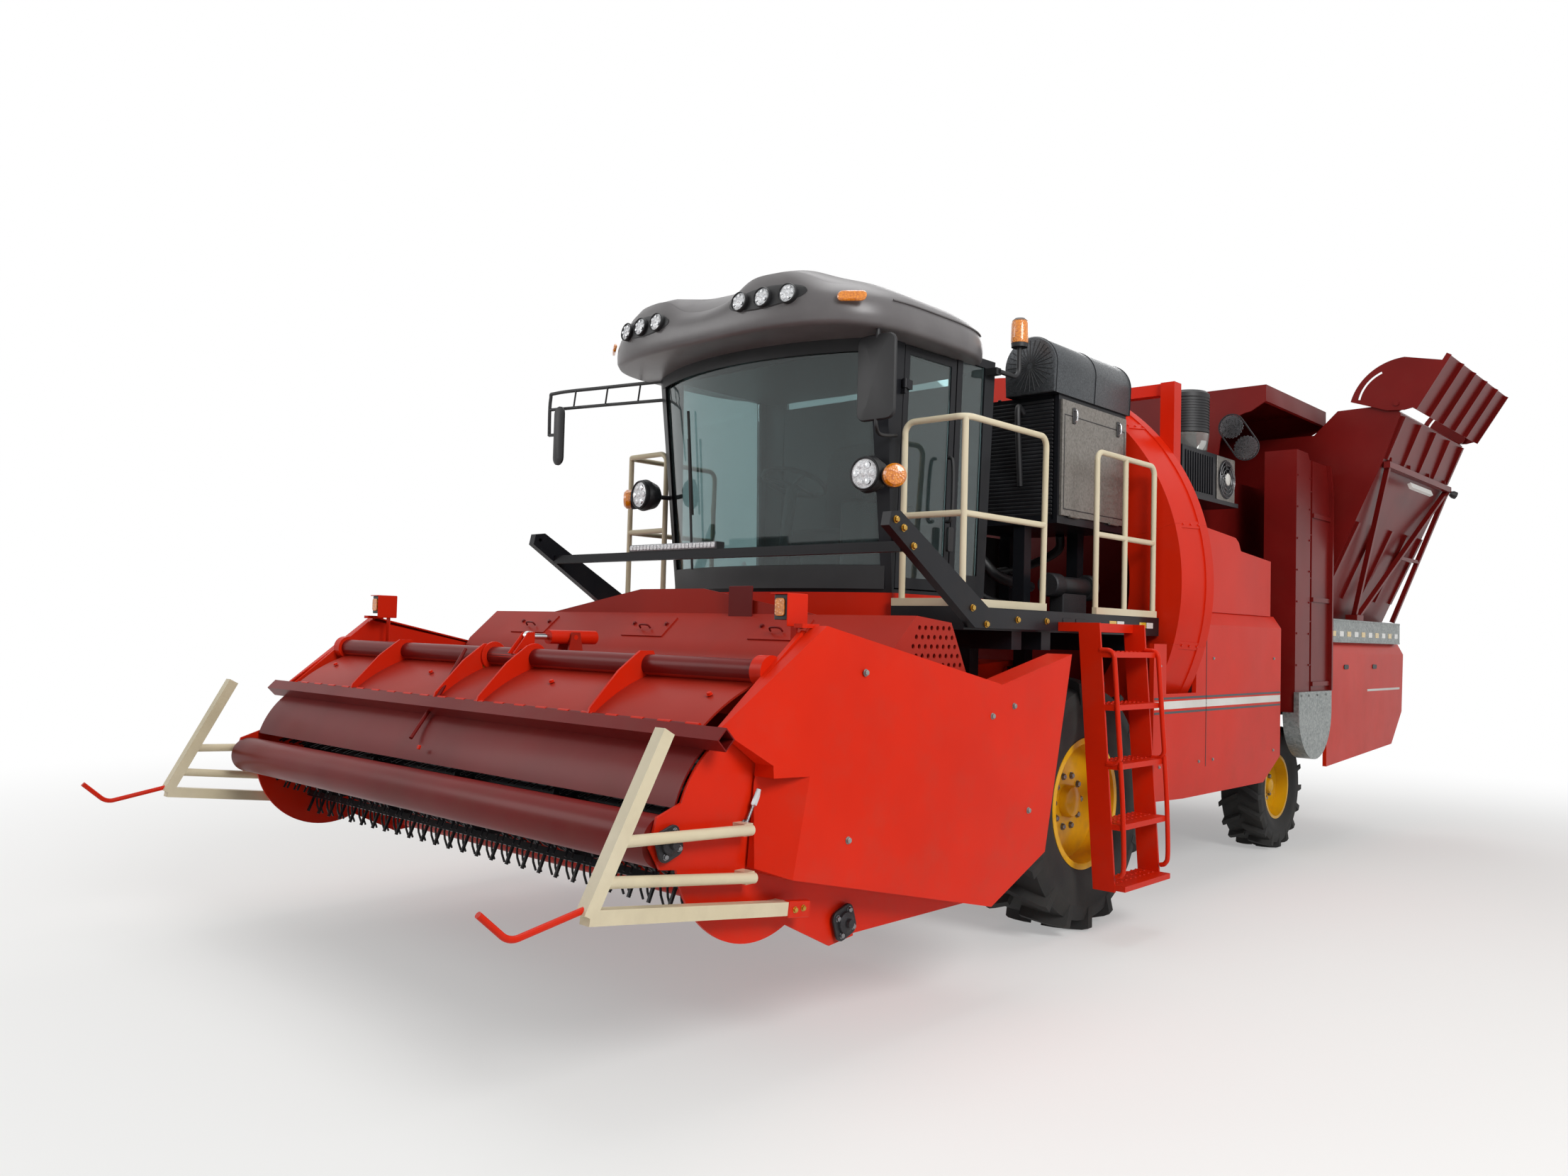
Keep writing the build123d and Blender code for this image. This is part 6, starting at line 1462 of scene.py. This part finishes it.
@dataclass
class Body:
    """Stripes, seams and bolts of the panels, the fan, air cleaner, elevator drive and its boot."""

    place: Placement
    panel_face: float = 1.4502

    def stripe(self, x: float, y0: float, y1: float, z: float, height: float, finish: Finish) -> Shell:
        """Painted stripe as a thin film on a panel."""
        side = 1 if x > 0 else -1
        return plate((x, (y0 + y1) / 2, z), (0, side, 0), UPWARD, (y1 - y0, height, 0.0015), finish, 0.0006, 0.0004)

    def panels(self) -> list[Shell]:
        """Stripes along both sides, panel seams, recessed pulls and screws.

        Returns:
            Their shells.
        """
        shells: list[Shell] = []
        for side in (1, -1):
            face = side * self.panel_face
            shells.append(self.stripe(face, 0.87, 3.04, 1.248, 0.05, WHITE))
            shells.append(self.stripe(face, 0.87, 3.04, 1.292, 0.014, GREY))
            shells.append(self.stripe(face, 0.87, 3.04, 1.200, 0.014, GREY))
            shells.append(self.stripe(face, 5.2, 6.2, 1.268, 0.02, WHITE))
            shells.append(self.stripe(face, 1.66, 1.668, 1.25, 0.86, PLASTIC))
            for y in (0.95, 1.55, 1.78, 2.9):
                for z in (0.86, 1.55 if 1.0 < y else 1.5):
                    shells += bolt((side * 1.45, y, z), (side, 0, 0), 0.018, ZINC)
            for y in (4.6, 5.4):
                shells.append(plate((face, y, 1.48), (0, side, 0), UPWARD, (0.12, 0.04, 0.006), PLASTIC, 0.018))
            for number in range(10):
                y = 4.28 + number * 0.2
                # The white and yellow tape strips glow faintly: painted glow.
                finish = WHITE_TAPE_PAINTED_GLOW if number % 2 else YELLOW_TAPE_PAINTED_GLOW
                shells.append(plate((face, y, 1.765), (0, side, 0), UPWARD, (0.1, 0.045, 0.0015), finish, 0.003,
                                    0.0005))
            for z in (1.70, 1.88):
                shells.append(plate((side * 1.4495, 5.2, z), (0, side, 0), UPWARD, (1.98, 0.014, 0.006), ZINC, 0.003))
        return shells

    def lift_wheel(self) -> list[Shell]:
        """Butt straps over the joints of the lift wheel's housing, and the screws that hold them.

        Returns:
            Their shells.
        """
        shells: list[Shell] = []
        slope = 0.052 / 0.38
        for number in range(12):
            angle = math.radians(15 + number * 30)
            out = np.array([math.cos(angle), 0.0, math.sin(angle)])
            radius = 1.51 + slope * 0.19
            centre = np.array([0, 1.29, 2.03]) + out * (radius - 0.001)
            along = np.array([0, 1.0, 0]) + out * slope
            tangent = np.array([-math.sin(angle), 0.0, math.cos(angle)])
            if np.dot(np.cross(along, tangent), out) < 0:
                tangent = -tangent
            shells.append(plate(tuple(centre), tuple(along), tuple(tangent), (0.24, 0.05, 0.006), RED, 0.004, 0.001))
            for shift in (-0.09, 0.0, 0.09):
                spot = centre + along * shift + out * 0.005
                shells += bolt(tuple(spot), tuple(out), 0.016, RED)
        return shells

    def fan(self) -> list[Shell]:
        """Cooler's fan: a square plate whose opening is a black disc of painted shade, a guard of rings and seven
        blades round the hub.

        Returns:
            Their shells.
        """
        x, y, z = 1.2003, 2.56, 2.89
        shells = [plate((x, y, z), REARWARD, UPWARD, (0.33, 0.33, 0.008), SHEET, 0.01),
                  # The black disc in the opening is painted shade.
                  turned([(0.0075, 0.148), (0.0095, 0.148), (0.0096, 0)], (x, y, z), LEFTWARD, PLASTIC, 48)]
        angles = np.linspace(0, 2 * np.pi, 36, endpoint=False)
        for radius in (0.05, 0.08, 0.11, 0.138):
            ring = np.stack([np.full(36, x + 0.02), y + radius * np.cos(angles), z + radius * np.sin(angles)], axis=-1)
            shells.append(carried(ring, circle_section(0.0025, 6), STEEL, True))
        for number in range(7):
            angle = 2 * math.pi * number / 7
            out = (0, math.cos(angle), math.sin(angle))
            across = (0.35, -math.sin(angle), math.cos(angle))
            centre = (x + 0.013, y + out[1] * 0.085, z + out[2] * 0.085)
            shells.append(plate(centre, out, across, (0.09, 0.06, 0.003), PLASTIC, 0.015, 0.001))
        shells.append(turned([(0.009, 0.045), (0.024, 0.045), (0.03, 0.035), (0.031, 0)], (x, y, z), LEFTWARD,
                             WHITE, 24))
        for number in range(12):
            shells.append(plate((1.2002, 1.86 + number * 0.042, 2.89), REARWARD, UPWARD, (0.012, 0.28, 0.008),
                                BLACK, 0.003))
        return shells

    def air_cleaner(self) -> list[Shell]:
        """Air pre-cleaner: a clear dust bowl under a ribbed black canister with a domed lid.

        Returns:
            Their shells.
        """
        ribs = [(0.0, 0.11), (0.0, 0.135), (0.02, 0.15), (0.12, 0.163), (0.135, 0.165)]
        body = [(0.14, 0.15), (0.142, 0.165)]
        for number in range(12):
            base = 0.155 + number * 0.02
            body += [(base, 0.165), (base + 0.008, 0.165), (base + 0.010, 0.160), (base + 0.018, 0.160)]
        body += [(0.40, 0.165), (0.43, 0.165), (0.45, 0.145), (0.459, 0.10), (0.46, 0.0)]
        return [turned(ribs, (1.04, 2.22, 3.06), UPWARD, CLEAR, 40),
                turned(body, (1.04, 2.22, 3.06), UPWARD, PLASTIC, 40),
                turned([(0.0, 0.06), (0.13, 0.05), (0.131, 0)], (1.04, 2.22, 3.06), UPWARD, GREY, 24)]

    def sprocket(self, x: float, z: float, radius: float, teeth: int) -> Shell:
        """Chain wheel: its outline's radius swells and sinks as a cosine, once for each tooth.

        Args:
            x: Place across.
            z: Height.
            radius: Mean radius.
            teeth: Number of teeth.

        Returns:
            The chain wheel.
        """
        angles = np.linspace(0, 2 * np.pi, teeth * 6, endpoint=False)
        reach = radius + 0.004 * np.cos(angles * teeth)
        ring = np.stack([x + reach * np.cos(angles), np.zeros_like(angles), z + reach * np.sin(angles)], axis=-1)
        return stacked(np.stack([ring + [0, 2.668, 0], ring + [0, 2.674, 0]]), STEEL)

    def elevator(self) -> list[Shell]:
        """Chain wheels and chain of the transfer belt, casing screws, boot hub and its motor.

        Returns:
            Their shells.
        """
        shells = [self.sprocket(1.2, 3.31, 0.089, 22), self.sprocket(1.312, 3.141, 0.089, 22)]
        a, b = np.array([1.2, 2.671, 3.31]), np.array([1.312, 2.671, 3.141])
        way = (b - a) / np.linalg.norm(b - a)
        square = np.array([-way[2], 0, way[0]])
        half_turn = np.linspace(-np.pi / 2, np.pi / 2, 14)[:, None]
        radius = 0.096
        loop = np.vstack([b + radius * (np.sin(half_turn) * square + np.cos(half_turn) * way),
                          a + radius * (-np.sin(half_turn) * square - np.cos(half_turn) * way)])
        shells.append(carried(loop, strip_section(0.004, 0.007), IRON, True))
        for z in (1.25, 1.5, 1.75, 2.0, 2.25, 2.5, 2.75, 3.0):
            for y in (3.325, 3.6):
                shells += bolt((1.4705, y, z), LEFTWARD, 0.014, RED_IN_PAINTED_SHADE)
        hub = (1.5102, 3.66, 1.13)
        shells.append(turned([(-0.02, 0.05), (-0.004, 0.05), (-0.002, 0.03), (-0.001, 0)], hub, LEFTWARD, IRON, 20))
        shells.append(plate((1.4705, 3.99, 1.215), REARWARD, UPWARD, (0.1, 0.13, 0.035), PLASTIC, 0.012))
        for y in (3.33, 3.5, 3.7, 3.9):
            shells += bolt((1.5101, y, 1.262), LEFTWARD, 0.016, ZINC)
        return shells

    def bin(self) -> list[Shell]:
        """Truss lamp, welded gussets, rim edging and the rear marker lamps.

        Returns:
            Their shells.
        """
        bar_start, bar_end = np.array([1.905, 4.7, 3.03]), np.array([1.905, 5.35, 3.03])
        shells = [plate(tuple((bar_start + bar_end) / 2), REARWARD, (-0.4, 0, 1), (0.65, 0.05, 0.03), WHITE, 0.01),
                  turned([(0, 0.02), (0.03, 0.035), (0.06, 0.035), (0.062, 0)], (1.88, 6.18, 3.13),
                         (0.6, 0.5, -0.3), PLASTIC, 20)]
        for y in (4.35, 4.9, 5.5, 6.05):
            shells.append(plate((1.85, y, 3.19), LEFTWARD, UPWARD, (0.05, 0.09, 0.012), RED_IN_PAINTED_SHADE, 0.006))
        for side in (1, -1):
            shells.append(plate((side * 1.35, 6.2006, 1.79), (-1, 0, 0), UPWARD, (0.14, 0.09, 0.02), AMBER, 0.02))
        return shells

    def build(self) -> None:
        """Make the body's fittings, the air cleaner in place of its plain solid."""
        self.place.piece("panel_fittings", self.panels(), "machine")
        self.place.piece("lift_wheel_straps", self.lift_wheel(), "machine")
        self.place.piece("cooler_fan", self.fan(), "machine")
        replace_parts(self.place.piece("air_cleaner", self.air_cleaner(), "machine"), "pre_cleaner")
        self.place.piece("elevator_fittings", self.elevator(), "machine")
        self.place.piece("bin_fittings", self.bin(), "machine")


class Look(Enum):
    """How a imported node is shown."""

    AS_PACKED = "as packed"
    EASED = "eased"


@dataclass
class Dressing:
    """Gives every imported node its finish, and rounds off those whose facets would show."""

    place: Placement
    eased_nodes: tuple[str, ...] = (
        "front_roller", "drum_cover", "cab_glass", "cab_shell", "door_glass", "guard_rails", "ladder",
        "dividers", "lift_housing", "end_shields", "header_hood", "header_frame", "side_panels", "rear_panels",
        "radiator_box", "elevator_tower", "elevator_boot", "guard_arms", "bin_shell", "unload_flap", "side_tank",
        "front_rim_left", "front_rim_right", "rear_rim_left", "rear_rim_right", "transfer_hood", "cab_base",
        "cover_barrel", "cover_rod", "lift_barrels", "lift_rods", "lamps", "tine_drum", "front_axle", "belt_drive")
    regions: tuple[tuple[str, Finish, Point, Point], ...] = (
        ("dividers", RED, (-3.0, -4.3, 0.6), (3.0, -3.83, 0.83)),
        # The cover's sheet between the ribs takes the orange red with painted half shade; the ribs and bracket keep the
        # bright red.
        ("drum_cover", RED_IN_PAINTED_HALF_SHADE, (-1.66, -3.205, 1.28), (1.66, -2.88, 1.47)),
        ("drum_cover", RED, (-0.988, -3.24, 1.27), (-0.972, -2.83, 1.7)),
        ("drum_cover", RED, (-0.188, -3.24, 1.27), (-0.172, -2.83, 1.7)),
        ("drum_cover", RED, (0.03, -3.24, 1.50), (0.09, -2.7, 1.7)),
        ("drum_cover", RED, (0.172, -3.24, 1.27), (0.188, -2.83, 1.7)),
        ("drum_cover", RED, (0.972, -3.24, 1.27), (0.988, -2.83, 1.7)))

    def look(self, node: str) -> Look:
        """Return how a node is shown."""
        return Look.EASED if node in self.eased_nodes else Look.AS_PACKED

    def ease(self, node: str, source: bpy.types.Object, finish: Finish, body: str) -> None:
        """Show a node through a merged copy of its mesh, whose round faces are shaded smooth.

        Args:
            node: The node's name.
            source: Its packed object.
            finish: Its finish.
            body: The body that carries it.
        """
        mesh = source.data.copy()
        mesh.name = f"{node}_eased"
        copy = bpy.data.objects.new(f"{node}_eased", mesh)
        bpy.context.scene.collection.objects.link(copy)
        self.merge(mesh)
        mesh.materials.clear()
        mesh.materials.append(finish.material())
        mesh.polygons.foreach_set("material_index", self.painted(node, mesh))
        mesh.polygons.foreach_set("use_smooth", np.ones(len(mesh.polygons), bool))
        mesh.set_sharp_from_angle(angle=math.radians(30))
        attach(copy, body)
        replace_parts(copy, node)

    def painted(self, node: str, mesh: bpy.types.Mesh) -> np.ndarray:
        """Number of each face's finish: the node's own, or the next where its middle lies in a painted region.

        Args:
            node: The node's name.
            mesh: Its merged mesh, which gains the regions' materials.

        Returns:
            One number per face.
        """
        number = np.zeros(len(mesh.polygons), np.int32)
        for owner, finish, low, high in self.regions:
            if owner != node:
                continue
            middles = np.empty(len(mesh.polygons) * 3, np.float32)
            mesh.polygons.foreach_get("center", middles)
            middles = middles.reshape(-1, 3) - self.place.shift
            inside = np.all((middles > np.array(low)) & (middles < np.array(high)), axis=1)
            mesh.materials.append(finish.material())
            number[inside] = len(mesh.materials) - 1
        return number

    def merge(self, mesh: bpy.types.Mesh) -> None:
        """Join the loose triangles' corners that lie in one place, to a hundredth of a millimetre.

        Corners are rounded to that grid and each distinct one is kept once; a face whose corners fall together
        is dropped.

        Args:
            mesh: Mesh to rebuild in place.
        """
        points = np.empty(len(mesh.vertices) * 3, np.float32)
        mesh.vertices.foreach_get("co", points)
        points = points.reshape(-1, 3).astype(float)
        corners = np.empty(len(mesh.loops), np.int32)
        mesh.loops.foreach_get("vertex_index", corners)
        _, keep, which = np.unique(np.round(points * 1e5).astype(np.int64), axis=0, return_index=True,
                                   return_inverse=True)
        faces = which.reshape(-1)[corners].reshape(-1, 3)
        whole = (faces[:, 0] != faces[:, 1]) & (faces[:, 1] != faces[:, 2]) & (faces[:, 0] != faces[:, 2])
        mesh.clear_geometry()
        mesh.from_pydata(points[keep].tolist(), [], faces[whole].tolist())

    def build(self, frame: dict[str, Any]) -> None:
        """Dress every node of the frame.
        """
        for node, source in frame["nodes"].items():
            finish = NODE_FINISHES[node]
            source.data.materials.clear()
            source.data.materials.append(finish.material())
            if self.look(node) is Look.EASED:
                self.ease(node, source, finish, source["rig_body"])
        LOG.info("dressed %d nodes", len(frame["nodes"]))


def looked_at(tree: Tree) -> Socket:
    """Tell where a ray comes from the camera, or was mirrored or let through by metal or glass.

    Args:
        tree: The node tree that asks.

    Returns:
        Socket of 1 for such a ray and 0 for any other.
    """
    rays = add_node(tree, "ShaderNodeLightPath")
    through = add_node(tree, "ShaderNodeMath", {"operation": "MAXIMUM"},
                       {"0": rays.outputs["Is Glossy Ray"], "1": rays.outputs["Is Transmission Ray"]})
    seen = add_node(tree, "ShaderNodeMath", {"operation": "MAXIMUM"},
                    {"0": rays.outputs["Is Camera Ray"], "1": through.outputs["Value"]})
    return seen.outputs["Value"]


@dataclass
class Studio:
    """Floor, light and camera of the photograph."""

    place: Placement
    camera_at: Point = (4.7, -6.1, 1.65)
    right: Point = (0.73462167, 0.67797371, 0.02612754)
    up: Point = (0.00683273, -0.04589981, 0.99892268)
    forward: Point = (-0.67844256, 0.73365173, 0.0383514)
    lens_mm: float = 26.6634
    lamps: tuple[tuple[str, Point, float, float], ...] = (
        ("key", (9.0, -3.5, 6.5), 4.0, 560.0), ("fill", (-7.0, -9.0, 6.0), 5.0, 230.0),
        ("rear", (-5.0, 11.0, 8.0), 6.0, 300.0), ("top", (0.0, 0.5, 10.0), 7.0, 300.0))
    fade_from: float = 3.0
    fade_to: float = 11.0

    def camera(self) -> None:
        """Stand the camera where the photograph was taken."""
        data = bpy.data.cameras.new("photo_camera")
        data.lens = self.lens_mm
        data.sensor_width = 36
        data.clip_end = 300
        camera = bpy.data.objects.new("photo_camera", data)
        matrix = Matrix([[self.right[i], self.up[i], -self.forward[i], self.camera_at[i] + float(self.place.shift[i])]
                         for i in range(3)] + [[0, 0, 0, 1]])
        camera.matrix_world = matrix
        bpy.context.scene.collection.objects.link(camera)
        bpy.context.scene.camera = camera

    def light(self) -> None:
        """Hang large soft lamps round the machine, each aimed at its middle, in an even pale world."""
        target = np.array([0.0, 0.5, 1.4])
        for name, spot, size, watts in self.lamps:
            data = bpy.data.lights.new(name, "AREA")
            data.shape = "DISK"
            data.size = size
            data.energy = watts
            lamp = bpy.data.objects.new(name, data)
            back = np.array(spot) - target
            back /= np.linalg.norm(back)
            side = np.cross([0.0, 0.0, 1.0] if abs(back[2]) < 0.95 else [0.0, 1.0, 0.0], back)
            side /= np.linalg.norm(side)
            upward = np.cross(back, side)
            lamp.matrix_world = Matrix([[side[i], upward[i], back[i], spot[i] + float(self.place.shift[i])]
                                        for i in range(3)] + [[0, 0, 0, 1]])
            bpy.context.scene.collection.objects.link(lamp)
        world = bpy.data.worlds.new("pale_world")
        world.use_nodes = True
        tree = world.node_tree
        tree.nodes.clear()
        out = add_node(tree, "ShaderNodeOutputWorld")
        soft = add_node(tree, "ShaderNodeBackground", {"Color": linear("#E6E5E2"), "Strength": 0.42})
        white = add_node(tree, "ShaderNodeBackground", {"Color": linear("#FFFFFF"), "Strength": 1.0})
        mixed = add_node(tree, "ShaderNodeMixShader", None,
                         {"0": looked_at(tree), "1": soft.outputs["Background"], "2": white.outputs["Background"]})
        tree.links.new(mixed.outputs["Shader"], out.inputs["Surface"])
        bpy.context.scene.world = world

    def floor(self) -> None:
        """Lay a round pale floor, its rings growing outwards from the machine.

        To the camera it turns from matt to plain white between fade_from and fade_to metres.
        """
        radii = np.array([0.5, 4.0, 12.0, 40.0])
        angles = np.linspace(0, 2 * np.pi, 64, endpoint=False)
        rings = np.stack([radii[:, None] * np.cos(angles), radii[:, None] * np.sin(angles),
                          np.zeros((4, 64))], axis=-1)
        rings[:, :, 1] += 1.0
        points = np.vstack([rings.reshape(-1, 3), [[0, 1.0, 0]]]) + self.place.shift
        rows, cols = np.arange(3)[:, None] * 64, np.arange(64)[None]
        quads = np.stack([rows + cols, rows + 64 + cols, rows + 64 + (cols + 1) % 64, rows + (cols + 1) % 64],
                         axis=-1).reshape(-1, 4)
        middle = np.stack([np.full(64, 256), np.arange(64), (np.arange(64) + 1) % 64], axis=-1)
        mesh = bpy.data.meshes.new("studio_floor")
        mesh.from_pydata(points.tolist(), [], quads.tolist() + middle.tolist())
        material = bpy.data.materials.new("pale_floor")
        material.use_nodes = True
        tree = material.node_tree
        tree.nodes.clear()
        out = add_node(tree, "ShaderNodeOutputMaterial")
        matt = add_node(tree, "ShaderNodeBsdfDiffuse", {"Color": linear("#E9E9E7")})
        glow = add_node(tree, "ShaderNodeEmission", {"Color": linear("#FFFFFF"), "Strength": 1.0})
        place = add_node(tree, "ShaderNodeTexCoord").outputs["Object"]
        away = add_node(tree, "ShaderNodeVectorMath", {"operation": "LENGTH"}, {"Vector": place})
        share = add_node(tree, "ShaderNodeMapRange",
                         {"interpolation_type": "SMOOTHSTEP", "From Min": self.fade_from, "From Max": self.fade_to,
                          "To Min": 0.35, "To Max": 1.0}, {"Value": away.outputs["Value"]})
        seen = add_node(tree, "ShaderNodeMath", {"operation": "MULTIPLY"},
                        {"0": share.outputs["Result"], "1": looked_at(tree)})
        mixed = add_node(tree, "ShaderNodeMixShader", None,
                         {"0": seen.outputs["Value"], "1": matt.outputs["BSDF"], "2": glow.outputs["Emission"]})
        tree.links.new(mixed.outputs["Shader"], out.inputs["Surface"])
        mesh.materials.append(material)
        floor = bpy.data.objects.new("studio_floor", mesh)
        bpy.context.scene.collection.objects.link(floor)

    def build(self) -> None:
        """Set up camera, light and floor."""
        self.camera()
        self.light()
        self.floor()
        bpy.context.scene.view_settings.view_transform = "Standard"


def main() -> None:
    """Load the frame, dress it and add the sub-assemblies in order."""
    logging.basicConfig(level=logging.INFO, format="%(name)s: %(message)s")
    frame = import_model()
    place = Placement()
    Studio(place).build()
    Dressing(place).build(frame)
    for left in (True, False):
        side = 1 if left else -1
        Wheel(place, name="front", centre=(side * 1.257, 0.0, 0.72), radius=0.717, width=0.46, rim_radius=0.374,
              lug_height=0.052, lugs=17, nuts=10, nut_circle=0.15, disc_x=0.074, left=left).build()
        Wheel(place, name="rear", centre=(side * 1.08, 3.66, 0.5), radius=0.498, width=0.32, rim_radius=0.272,
              lug_height=0.038, lugs=17, nuts=8, nut_circle=0.10, disc_x=0.040, left=left).build()
    Header(place).build()
    TineRows(place).build()
    Cab(place).build()
    CabRoof(place).build()
    Mirrors(place).build()
    Platform(place).build()
    PowerUnit(place).build()
    Body(place).build()
    LOG.info("made %d pieces", place.made)


if __name__ == "__main__":
    main()
